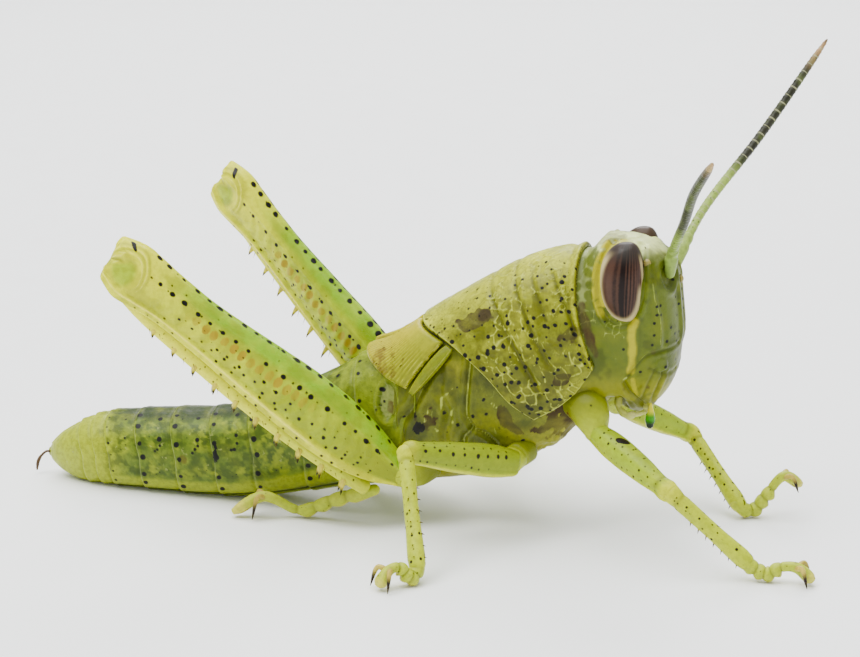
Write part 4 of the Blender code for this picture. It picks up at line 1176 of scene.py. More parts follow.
def head_grid():
    z = np.linspace(HEAD[0][0], HEAD[-1][0], 900)
    back, front, _ = np.moveaxis(through(HEAD, z), -1, 0)
    z = evened(z, np.stack((z, (front - back) / 2), -1), 150)
    angle = ring_angles(6000, -1.0)
    angle = evened(angle, head_rings(angle, np.array([12.0]))[0][0], 253)
    ring, middle = head_rings(angle, z)
    centre = np.stack((middle[:, 0], 0 * z, z), -1)[:, None]
    up = np.broadcast_to((0.0, 0.0, 1.0), centre.shape)
    return meet_shield(domed(centre, ring, up, (0.12, 0.1), 6))


def meet_shield(points):
    """Draws the rear of the head onto the arch just inside the shield's rim."""
    x, y, z = np.moveaxis(points, -1, 0)
    low, high, half = np.moveaxis(through(TRUNK, np.maximum(x, 7.9)), -1, 0)
    middle, rise, half = (low + high) / 2, (high - low) / 2 + 0.38, half + 0.38
    out = (np.abs(y / half) ** TRUNK_FULLNESS + np.abs((z - middle) / rise) ** TRUNK_FULLNESS) ** (
        1 / TRUNK_FULLNESS)
    amount = step(1.25, 0.1, x - front_rim(np.minimum(z, SHIELD_RIM[1]))) * step(7.6, 8.8, z)
    scale = 1 + (1 / np.maximum(out, 0.3) - 1) * amount
    return np.stack((x, y * scale, middle + (z - middle) * scale), -1)


# all places on the head are x and height, as seen from the side
# seams above the upper lip, between the jaws and at the throat, with depth, width and pale ridge
HEAD_SEAMS = (
    (((11.1, 8.96), (11.63, 9.66), (12.21, 10.32), (12.94, 10.52), (13.5, 10.7)), 0.07, 0.09, 0.8),
    (((12.95, 9.35), (12.7, 8.6), (12.4, 7.9), (12.05, 7.1)), 0.11, 0.1, 0),
    (((11.0, 8.75), (11.25, 8.2), (11.75, 7.6), (11.9, 7.0)), 0.13, 0.12, 0),
    (((9.6, 9.3), (10.3, 8.5), (10.7, 7.9), (10.9, 7.1)), 0.14, 0.13, 0),
    (((12.3, 9.6), (12.95, 9.25), (13.5, 9.3)), 0.06, 0.1, 0.55),
    (((12.6, 9.6), (12.2, 8.7), (11.85, 7.9)), 0.04, 0.08, 0),
)
CHEEK_RIDGE = (12.35, 14.1), (12.5, 13.3), (12.75, 12.3), (12.8, 10.9)
UNDER_EYE = (11.75, 12.1), (11.9, 11.2), (11.7, 10.2), (11.25, 9.15)
YELLOW_STRIPE = (11.62, 12.15), (11.43, 11.6), (11.46, 10.4), (11.36, 9.4)
JAW_STRIPE = (11.45, 8.95), (11.5, 8.5), (11.57, 8.1)
CHEEK_FOLD = (9.8, 8.72), (10.4, 8.66), (11.1, 9.0)
CHEEK_FLECKS = (9.85, 10.8), (10.2, 10.4), (10.6, 10.05)
# line of the painted shadow that the shield's rim casts on the head
RIM_SHADOW_LINE = (8.8, 0, 12.8), (9.0, 0, 12.0), (9.25, 0, 11.2), (9.65, 0, 10.2)
FEELER_SOCKET, JAW_PLATE, SEAM_STAIN = (13.0, 14.3), (12.85, 9.75), (12.5, 10.5)
HEAD_SPOTS = ((12.6, 12.92), (12.8, 12.92), (12.63, 12.47), (12.8, 12.45), (12.54, 12.03),
              (12.54, 11.39), (12.45, 10.88), (13.1, 11.0), (13.25, 11.68), (11.85, 9.4), (10.7, 9.2),
              (11.0, 10.6))
# height and distance from the middle
FACE_SPOTS = ((14.5, 0.25), (14.45, 0.71), (14.03, 0.84), (14.01, 0.12), (12.81, 0.12), (12.33, 0.1),
              (11.7, 0.25), (13.12, 0.84), (12.18, 0.84), (11.29, 0.68), (10.87, 1.02), (10.99, 1.71),
              (11.68, 1.5), (13.56, 0.75), (13.34, 0.1), (12.7, 0.57), (11.29, 1.16), (9.83, 0.79),
              (9.65, 1.64))
# x of each column of green ovals behind the eye, their half width, and by how much it starts lower
OVAL_COLUMNS = ((9.0, 0.31, 0.0), (8.5, 0.2, 0.2), (9.45, 0.14, 0.2))
OVAL_ROWS, OVAL_TOP, OVAL_GAP, OVAL_HALF_HEIGHT = 7, 15.45, 0.53, 0.25


def green_ovals(both):
    """Columns of green ovals that lean forward on the way down."""
    x, y, z = np.moveaxis(both, -1, 0)
    ragged = 0.6 * (cloud(both, 0.4, 24) - 0.5)
    ovals = np.zeros(x.shape)
    for column, half, drop in OVAL_COLUMNS:
        for row in range(OVAL_ROWS):
            up = (z - OVAL_TOP + OVAL_GAP * row + drop) / OVAL_HALF_HEIGHT
            across = (x - column - 0.06 * (row % 2) - 0.035 * row * (column > 8.9)) / half
            ovals = np.maximum(ovals, step(1.15, 0.9, np.hypot(across, up) + ragged) * (y < -0.9))
    return ovals


def make_head():
    points = head_grid()
    coat = Coat(points)
    both = folded(points)
    x, y, z = np.moveaxis(both, -1, 0)
    front = x - through(HEAD, np.clip(z, 6.8, 16.0))[..., 1]
    trace = tracer(on_head)
    height = 0.04 * uneven(points, 1.1, 2) + 0.018 * uneven(points, 0.3, 3)

    # sockets of the eye and of the feeler
    eye = np.hypot((x - EYE_CENTRE[0] + 0.1) / (EYE_HALF[0] + 0.12),
                   (z - EYE_CENTRE[2]) / (EYE_HALF[2] + 0.05))
    eye = np.where(y < -0.8, eye, 5)
    height += 0.1 * hump(eye, 0.09, 1.2) - 0.12 * hump(eye, 0.07, 1.04)
    socket = np.linalg.norm((both - on_head(*FEELER_SOCKET)) * (1, 1, 0.9), axis=-1)
    height += 0.1 * hump(socket, 0.16, 0.78) - 0.16 * step(0.62, 0.4, socket)
    # painted shade inside the feeler's socket
    coat.put(DEEP, 0.6 * hump(socket, 0.15, 0.55))

    # ridges of the face: the broad middle one and a narrow one on each side
    middle = step(0.62, 0.42, np.abs(y)) * step(10.4, 11.2, z)
    middle *= step(15.6, 14.9, z) * step(-1.2, -0.5, front)
    height += 0.14 * middle - 0.07 * middle * hump(y, 0.16) * step(14.4, 13.8, z)
    away = from_line(both, trace(*CHEEK_RIDGE))
    height += 0.09 * hump(away, 0.12) - 0.04 * hump(away, 0.14, 0.3)
    coat.put(PALE, 0.53 * hump(away, 0.09))
    away = from_line(both, trace(*UNDER_EYE))
    height -= 0.04 * hump(away, 0.12)
    # painted shade in the groove under the eye
    coat.put(DEEP, 0.3 * hump(away, 0.14))
    for seam, depth, width, pale in HEAD_SEAMS:
        line = np.array(trace(*seam))
        away = from_line(both, line)
        height -= depth * hump(away, width)
        height += 0.45 * depth * hump(away, 1.2 * width, 2.3 * width)
        # painted shade along the seam's groove
        coat.put(DEEP, 0.5 * hump(away, 0.8 * width))
        if pale:
            coat.put(PALE, ramp(from_line(both, line + (0.02, -0.02, 0.12)), 0.035) * pale)
    plate = np.linalg.norm(both - on_head(*JAW_PLATE), axis=-1)
    height += 0.07 * step(0.44, 0.3, plate)
    coat.put(PALE, ramp(np.abs(plate - 0.42), 0.012) * 0.85)
    height -= 0.16 * hump(y, 0.09) * step(8.6, 8.1, z)

    # pale crown and ovals behind the eye, yellow rim and stripe
    wave = uneven(both, 1.2, 12)
    crown = step(15.0, 15.7, z + 0.5 * wave)
    coat.put(THIRD, np.maximum(0.9 * crown, 0.26 * step(9.9, 9.4, x) * step(11.6, 13.2, z)))
    behind = step(1.34, 1.2, eye + 0.22 * wave) * step(11.2, 10.6, x) * step(12.0, 12.6, z)
    away = from_line(both, trace(*YELLOW_STRIPE)) + 0.12 * wave + 0.16 * uneven(both, 0.35, 18)
    yellow = np.maximum(step(0.28, 0.12, away), behind * step(0.3, 0.42, clouds(both, 0.5, 13)))
    yellow = np.maximum(yellow, 0.9 * step(0.16, 0.08, from_line(both, trace(*JAW_STRIPE))))
    coat.put(SECOND, yellow * 0.95)
    coat.put(SECOND, 0.35 * step(9.6, 8.4, z))
    coat.fade(THIRD, yellow)
    ovals = green_ovals(both)
    coat.fade(THIRD, 0.85 * ovals)
    coat.put(DEEP, 0.2 * ovals)

    # pale net, flecks and fold of the cheek, and a brown band by the shield that is the painted shadow of
    # its rim
    zone = step(0.2, 0.35, clouds(both, 0.9, 15)) * step(10.6, 11.3, z) * step(12.9, 12.4, z)
    zone *= (1 - yellow) * step(11.3, 11.0, x)
    coat.put(PALE, net(z, x * 1.1, 0.5, 0.028, 29) * zone * 0.9)
    coat.put(PALE, 0.8 * dots(both, trace(*CHEEK_FLECKS), 0.1))
    coat.put(PALE, 0.6 * step(0.14, 0.04, from_line(both, trace(*CHEEK_FOLD))))
    # brown band along the shield's rim: painted shadow cast by the rim on the head
    band, run = line_distance(both * (1, 0, 1), RIM_SHADOW_LINE)
    band += 0.35 * uneven(both, 0.5, 11) + 0.5 * (run - 0.5) ** 2
    coat.put(STAIN, step(0.42, 0.12, band) * (0.6 + 0.25 * clouds(both, 0.3, 17)))
    stained = np.linalg.norm(both - on_head(*SEAM_STAIN), axis=-1)
    coat.put(STAIN, 0.5 * step(0.3, 0.1, stained))
    coat.put(STAIN, blot(both, (9.6, -0.6, 15.95), (0.9, 0.9, 0.5), 19, 0.8) * 0.5)
    coat.put(STAIN, dots(both, trace((10.95, 8.4), (12.2, 8.5)), 0.12) * 0.8)

    coat.put(SPOT, dots(both, trace(*HEAD_SPOTS), 0.085))
    for level, out in FACE_SPOTS:
        coat.put(SPOT, ramp(np.hypot(y + out, z - level), 0.08) * step(-1.6, -1.2, front))
    round_head = np.arctan2(-y, x - 11.2) * 2.6
    coat.put(SPOT, specks(z, round_head, 0.62, 0.045, 0.4, 31) * step(12.9, 12.3, eye * 6 + 5))
    coat.put(DEEP, 0.5 * step(0.5, 0.38, clouds(both, 1.0, 16)) * (1 - yellow))
    cover("head_skin", points, height, coat, "head", "head", "labrum", "labium", "mandible_L",
          "mandible_R")


FAR_EYE_DROP = 0.12
# place round the eye in half turns, half width and darkness of each upright stripe
EYE_STRIPES = ((0.5, 0.055, 1.0), (0.42, 0.024, 0.9), (0.355, 0.02, 0.8), (0.295, 0.02, 0.75),
               (0.24, 0.016, 0.65), (0.19, 0.016, 0.6), (0.6, 0.05, 0.62), (0.73, 0.04, 0.42))


def make_eyes():
    """Each eye has a nearly straight front edge and a rounded rear one."""
    for side, sign in SIDES:
        polar = np.linspace(0.0, math.pi, 64)[1:-1, None]
        turn = ring_angles(96, -0.5)
        rim = np.sin(polar)
        reach = np.where(np.cos(turn) > 0, 0.9 * rim ** 0.62, 1.4 * rim ** 0.9)
        out = 1.03 * rim ** 0.8 * np.sin(turn) - 0.02 * EYE_CENTRE[1] / EYE_HALF[1]
        level = np.cos(polar) + 0 * turn
        points = np.stack((EYE_CENTRE[0] + 0.13 + reach * np.cos(turn),
                           (EYE_CENTRE[1] + EYE_HALF[1] * out) * sign,
                           EYE_CENTRE[2] + EYE_HALF[2] * level - FAR_EYE_DROP * (side == "L")), -1)
        coat = Coat(points)
        across = turn / math.pi + 0.02 * level
        coat.put(SPOT, 0.3)
        for place, width, depth in EYE_STRIPES:
            coat.put(SPOT, depth * hump(across, width, place))
        # grey top: painted reflection of the light above
        coat.put(SECOND, 0.8 * step(0.4, 0.85, level))
        rear_edge = np.maximum(-np.cos(turn), -level * 1.1)
        cream = step(0.66, 0.4, out) * step(-0.1, 0.3, rear_edge) * step(0.85, 0.5, level)
        coat.put(THIRD, np.maximum(cream, 0.8 * step(0.36, 0.26, out) * step(0.8, 0.5, level)))
        coat.put(GLOSS, step(0.1, 0.0, out))
        make_piece(f"eye_{side}_dome", [capped(points, coat)], "eye", f"eye_{side}")


SMALL_EYE_RADIUS, SMALL_EYE_DEPTH = 0.23, 0.09


def make_ocelli():
    """The three small round eyes."""
    grids = []
    near = on_head(12.03, 15.08)
    for centre, out in ((near, (0.3, -0.9, 0.3)), (near * (1, -1, 1), (0.3, 0.9, 0.3)),
                        (np.array((13.42, 0, 13.9)), (1, 0, 0.1))):
        out = unit(out)
        polar = np.linspace(0.05, 1.5, 10)[:, None]
        turn = ring_angles(20)[:, None]
        first = unit(np.cross(out, (0.1, 0.2, 1.0)))
        round_it = first * np.cos(turn) + np.cross(out, first) * np.sin(turn)
        dome = out * np.cos(polar)[..., None] + round_it * np.sin(polar)[..., None]
        dome = centre - out * SMALL_EYE_DEPTH + dome * SMALL_EYE_RADIUS
        coat = Coat(dome)
        coat.put(SECOND, step(0.9, 1.25, polar))
        grids.append(capped(dome, coat))
    make_piece("small_eyes", grids, "ocellus")


FEELER_RADII = ((0.0, 0.26), (0.03, 0.3), (0.06, 0.33), (0.075, 0.27), (0.1, 0.29), (0.12, 0.24),
                (0.5, 0.24), (0.8, 0.22), (0.93, 0.18), (1.0, 0.1))
FEELER_STALK, FEELER_RINGS = 0.115, 26    # share of the length below the rings, and their number
# material and the shares of the length between which the green base fades
FEELER_BASES = {"R": ("feeler", 0.34, 0.2), "L": ("far_feeler", 0.5, 0.38)}


def make_feelers():
    for side, (kind, faded, green) in FEELER_BASES.items():
        points, far, turn = tube_grid(ANTENNA_ROUTES[side], FEELER_RADII, 420, 22)
        coat = Coat(points)
        part = far / far.max()
        joint = np.maximum((part - FEELER_STALK) / (1 - FEELER_STALK) * FEELER_RINGS, 0)
        phase = joint - np.rint(joint)
        height = 0.012 * np.cos(2 * math.pi * joint) - 0.03 * hump(phase, 0.09) * (part > 0.11)
        coat.put(PALE, 0.53 * step(0.2, 0.5, hump(phase, 0.1, 0.1)) * (part > 0.13))
        base = step(faded, green, part)
        coat.put(SECOND, base)
        coat.put(THIRD, step(0.86, 0.97, part))
        coat.put(DEEP, 0.6 * step(0.45, 0.3, cloud(points, 0.5, 3)) * (1 - base))
        flecks = specks(far, np.radians(turn) * 0.28, 0.42, 0.05, 0.8, 5)
        coat.put(SPOT, flecks * step(0.1, 0.14, part) * step(0.5, 0.3, part))
        cover(f"feeler_{side}", points, height, coat, kind, f"antenna_{side}")


PALP_RADII = ((0.0, 0.18), (0.25, 0.21), (0.38, 0.16), (0.6, 0.21), (0.72, 0.16), (0.9, 0.2), (1.0, 0.1))


def make_palps():
    for side, sign in SIDES:
        upper = np.array(MAXILLARY_PALP) * (1, sign, 1)
        for name, route in (("maxillary", upper), ("labial", LABIAL_PALPS[side])):
            points, far, _ = tube_grid(route, PALP_RADII, 60, 20)
            coat = Coat(points)
            coat.put(SECOND, step(0.6, 1.0, far / far.max()))
            make_piece(f"{name}_feeler_{side}", [capped(points, coat)], "palp", f"{name}_palp_{side}")


DROP_ROUTE = (12.2, -1.0, 7.25), (12.2, -1.0, 6.8), (12.18, -1.0, 6.25)
DROP_RADII = (0.0, 0.1), (0.35, 0.2), (0.75, 0.26), (1.0, 0.2)
THREAD_ROUTE = (-22.3, -0.1, 1.35), (-22.75, -0.2, 1.3), (-23.15, -0.3, 0.8), (-23.25, -0.35, 0.25)
THREAD_RADII = (0.0, 0.05), (0.4, 0.07), (0.75, 0.1), (1.0, 0.05)


def make_drop():
    """The drop of plant juice at the mouth: green, with a painted highlight in yellow above and painted
    shade below.
    """
    points, far, _ = tube_grid(DROP_ROUTE, DROP_RADII, 30, 24)
    coat = Coat(points)
    part = far / far.max()
    # painted highlight at the top and painted shade at the bottom
    coat.put(SECOND, step(0.55, 0.15, part))
    coat.put(THIRD, step(0.6, 0.95, part))
    make_piece("mouth_drop", [capped(points, coat)], "bead")


def make_thread():
    """A dried thread that hangs from the tip of the belly."""
    points, _, _ = tube_grid(THREAD_ROUTE, THREAD_RADII, 40, 14, (0.05, 0.05))
    height = 0.03 * (cloud(points, 0.12, 4) - 0.5)
    cover("dried_thread", points, height, Coat(points), "thread")


# ---------------------------------------------------------------- legs
def mirrored(points):
    return [(x, -y, z) for x, y, z in points]


def stretched(start, end, before, after):
    """A straight route that runs a little past both joints."""
    start, end = np.array(start), np.array(end)
    along = unit(end - start)
    return (start - along * before, end + along * after)


def make_coxa(leg):
    kind, side = leg.split("_")
    route = COXA_ROUTES[kind] if side == "L" else mirrored(COXA_ROUTES[kind])
    radii = list(zip((0.0, 0.6, 1.0), COXA_RADII[kind]))
    points, far, turn = tube_grid(route, radii, 50, 60, (0.3, 0.55))
    coat = Coat(points)
    part = far / far.max()
    height = 0.05 * uneven(points, 0.6, 6) - 0.04 * hump(part, 0.07, 0.62)
    coat.put(SECOND, 0.5)
    # darker towards the body: painted shade where the hip goes in under it
    coat.put(DEEP, 0.95 * step(1.1, 0.3, part))
    coat.put(SPOT, specks(far, np.radians(turn) * 0.7, 0.5, 0.04, 0.4, 9))
    if kind == "front":
        fold = from_line(folded(points), ((8.1, -2.3, 7.2), (8.5, -2.5, 7.9)))
        coat.put(STAIN, step(0.22, 0.06, fold + 0.2 * (cloud(points, 0.3, 5) - 0.5)))
        coat.put(STAIN, blot(folded(points), (8.45, -2.2, 6.85), 0.36, 7, 1.2, 0.3) * 0.8)
    cover(f"{leg}_hip", points, height, coat, "leg", f"{leg}_coxa")


SPIKE_WIDTHS = (0.0, 1.0), (0.35, 0.72), (0.7, 0.4), (1.0, 0.06)


def spike(root, tip, radius, bend=(0, 0, 0), black_from=0.55, count=8):
    """A small cone with a bent, dark point."""
    route = (root, (root + tip) / 2 + np.array(bend, float), tip)
    rows = [(part, *([radius * width] * 3)) for part, width in SPIKE_WIDTHS]
    points, far, _ = limb_grid(route, rows, (0.3, 0.2, 0.9), 9, count, bulges=(0.0, 0.01))
    kept = slice(END_RINGS - 1, 1 - END_RINGS)
    points, far = points[kept], far[kept]
    coat = Coat(points)
    coat.put(SECOND, step(black_from - 0.12, black_from + 0.12, far / far.max()))
    return capped(points, coat)


# rows of dots: 0 on top of the limb, 1 on its sides and 2 underneath, with gap, radius and share
SMALL_THIGH_DOTS = {
    kind: ((0.72, 0.62, upper, 0.7), (0.42, 0.55, 0.06, 0.8), (1.22, 0.5, 0.06, 0.8), (0.1, 0.75, 0.06, 0.7))
    for kind, upper in (("front", 0.065), ("mid", 0.1))
}
BLACK_SPOT = 50, 98        # ring and degrees of the one large spot on the right front thigh
SMALL_SPINES, SMALL_HAIRS = 7, 16


def make_small_thigh(leg, seed):
    hip, knee = (np.array(joint) for joint in LEG_JOINTS[leg][:2])
    kind = leg.split("_")[0]
    rows = FRONT_THIGH if kind == "front" else MID_THIGH
    points, far, turn = limb_grid(stretched(hip, knee, 0.1, 0.0), rows, (0, 0, 1), 150, 64, 2.25, (0.3, 0.2))
    coat = Coat(points)
    down = np.abs(turn - 90) / 90
    length = far.max()
    chance = random.Random(seed)
    height = 0.03 * uneven(points, 0.7, 4) + 0.05 * hump(down, 0.12, 1.45)
    height -= 0.04 * hump(down, 0.14, 1.25)
    for level, gap, radius, share in SMALL_THIGH_DOTS[kind]:
        for place in dot_row(chance, 0.8, length - 0.5, gap, share):
            big = radius * chance.uniform(0.7, 1.15)
            spread = chance.uniform(-0.07, 0.07)
            coat.put(SPOT, ramp(np.hypot(far - place, (down - level - spread) * 0.95), big))
    rings = np.abs(far / 0.34 - np.rint(far / 0.34)) * 0.34
    coat.put(PALE, ramp(rings, 0.0) * 0.9 * step(1.5, 1.6, down))
    coat.put(SECOND, np.maximum(0.9 * step(1.3, 1.5, down), step(length - 0.7, length - 0.2, far)))
    coat.put(THIRD, 0.5 * step(0.6, 0.2, down) * step(length, length - 1.5, far))
    coat.put(DEEP, 0.6 * hump(far - length + 0.75, 0.12) * step(1.4, 1.0, down))
    # the middle thighs are darker except underneath: painted shade, as they lie under the body
    coat.put(DEEP, (0.45 if kind == "mid" else 0.0) * step(1.5, 1.2, down))
    if leg == "front_R":
        ring, degrees = BLACK_SPOT
        centre = points[END_RINGS + ring, int(np.argmin(np.abs(turn[0] - degrees)))]
        coat.put(SPOT, step(0.3, 0.16, np.linalg.norm((points - centre) * (0.55, 1, 1), axis=-1)))
    cover(f"{leg}_thigh", points, height, coat, "leg", f"{leg}_femur")


def make_small_shin(leg, seed):
    knee, ankle = LEG_JOINTS[leg][1:]
    route = stretched(knee, ankle, 0.0, -0.08)
    points, far, turn = limb_grid(route, SMALL_SHIN, (0.2, 0, 1), 140, 40, 2.0, (0.35, 0.3))
    coat = Coat(points)
    height = 0.05 + 0.02 * uneven(points, 0.6, 5) - 0.03 * hump(far, 0.12, 0.55)
    coat.put(SPOT, specks(far, np.radians(turn) * 0.45, 0.44, 0.068, 0.65, seed))
    coat.put(SECOND, 0.55 + 0.4 * step(0.8, 0.2, far))
    coat.put(DEEP, 0.5 * hump(far, 0.14, 0.5))
    cover(f"{leg}_shin", points, height, coat, "leg", f"{leg}_tibia")


def make_small_spines(leg):
    """Two rows of spines and a spiral of fine hairs on a shin."""
    knee, ankle = (np.array(joint) for joint in LEG_JOINTS[leg][1:])
    along = unit(ankle - knee)
    side = unit(np.cross((0.2, 0, 1), along))
    top = np.cross(along, side)
    lift = 0.8 if leg.startswith("mid") else -0.8
    spikes = []
    for number in range(SMALL_SPINES):
        centre = knee + (ankle - knee) * (0.32 + 0.6 * number / (SMALL_SPINES - 1))
        for lean in (-1, 1):
            out = unit(top * lift + side * lean * 0.6)
            root = centre + out * 0.3
            spikes.append(spike(root, root + unit(out + along * 0.55) * 0.36, 0.06, black_from=0.4))
    for number in range(SMALL_HAIRS):
        out = unit(top * math.cos(number * 2.4) + side * math.sin(number * 2.4))
        root = knee + (ankle - knee) * (0.15 + 0.8 * number / SMALL_HAIRS) + out * 0.33
        tip = root + unit(out + along * 0.8) * 0.22
        spikes.append(spike(root, tip, 0.018, black_from=0.1, count=5))
    make_piece(f"{leg}_shin_spines", spikes, "spine")


def thigh_frame(leg):
    """Hip, knee and the directions back to the hip, across and down of a hind thigh."""
    hip, knee, ankle = (np.array(joint) for joint in LEG_JOINTS[leg])
    back = unit(hip - knee)
    side = unit(np.cross((0, 0, 1), back))
    down = np.cross(back, side)
    down = -down if down[2] > 0 else down
    roll = math.radians(THIGH_ROLL) * (1 if leg.endswith("L") else -1)
    across = side * math.cos(roll) - down * math.sin(roll)
    return hip, knee, ankle, back, across, down * math.cos(roll) + side * math.sin(roll)


def shin_depths(leg):
    _, knee, ankle, back, _, down = thigh_frame(leg)
    return [*HIND_SHIN_DEPTHS, ((ankle - knee) @ back - ANKLE_GAP, (ankle - knee) @ down)]


def thigh_sections(leg, where, around):
    """Across and up of points round the thigh at each station, with the groove underneath."""
    hip, knee = thigh_frame(leg)[:2]
    length = np.linalg.norm(hip - knee)
    half, rise, drop = np.moveaxis(through(HIND_THIGH, where), -1, 0)
    depth = through(shin_depths(leg), length * (1 - where))[:, 0]
    lip = np.minimum(half * 0.96, HIND_SHIN_HALF + GAP + LIP)
    roof = np.minimum(depth - HIND_SHIN_RISE - GAP, drop * 0.93)
    turns = np.radians((0, 18, 35, 50, 65, 78, 90))
    right = [(corner(np.sin(t), 2.15) * half, corner(np.cos(t), 2.15) * rise) for t in turns]
    right += [(half * 0.98, -drop * 0.25), (half * 0.9, -drop * 0.5), (half * 0.8 + lip * 0.1, -drop * 0.75),
              (lip * 1.04, -drop * 0.94), (lip * 0.9, -drop), (lip * 0.72, -(roof + drop) / 2),
              (lip * 0.45, -roof * 1.0), (0 * half, -roof)]
    loop = [(-a, u) for a, u in reversed(right[1:])] + right
    places = [0.0]
    for (a0, u0), (a1, u1) in zip(loop, loop[1:]):
        places.append(places[-1] + 0.15 + float(np.mean(np.hypot(a1 - a0, u1 - u0))))
    rows = [(place, *np.concatenate((a, u))) for place, (a, u) in zip(places, loop)]
    values = through(rows, np.linspace(0, places[-1], around + 1))
    across, up = values[:, :len(where)].T, values[:, len(where):].T
    return across, up, half, rise, drop


# rows of dots along the crest: gap, radius, share and how much longer than wide
CREST_DOTS = (0.82, 0.115, 1.0, 1.6), (0.9, 0.06, 0.5, 1.3)
# rows of dots on the face: height, gap, radius, spread, share, and the shares of the length between
# which the row runs
FACE_DOTS = (
    (0.36, 0.95, 0.125, 0.015, 1.0, 0.04, 0.9),
    (0.36, 0.95, 0.06, 0.02, 0.6, 0.04, 0.9),
    (0.62, 0.9, 0.05, 0.06, 0.35, 0.04, 0.9),
    (-0.22, 0.8, 0.085, 0.08, 0.8, 0.04, 0.8),
    (-0.42, 0.75, 0.085, 0.09, 0.8, 0.04, 0.7),
    (-0.1, 0.6, 0.045, 0.25, 0.7, 0.04, 0.8),
    (-0.64, 0.85, 0.075, 0.03, 0.85, 0.08, 0.88),
    (-0.93, 0.8, 0.07, 0.03, 0.8, 0.1, 0.9),
)
LOW_KEEL = -0.78           # height on the face; the upper keel is a wavy line
CHEVRON_GAP = 0.72
NOTCH = 0.22               # height of the notch between the lobes of the knee


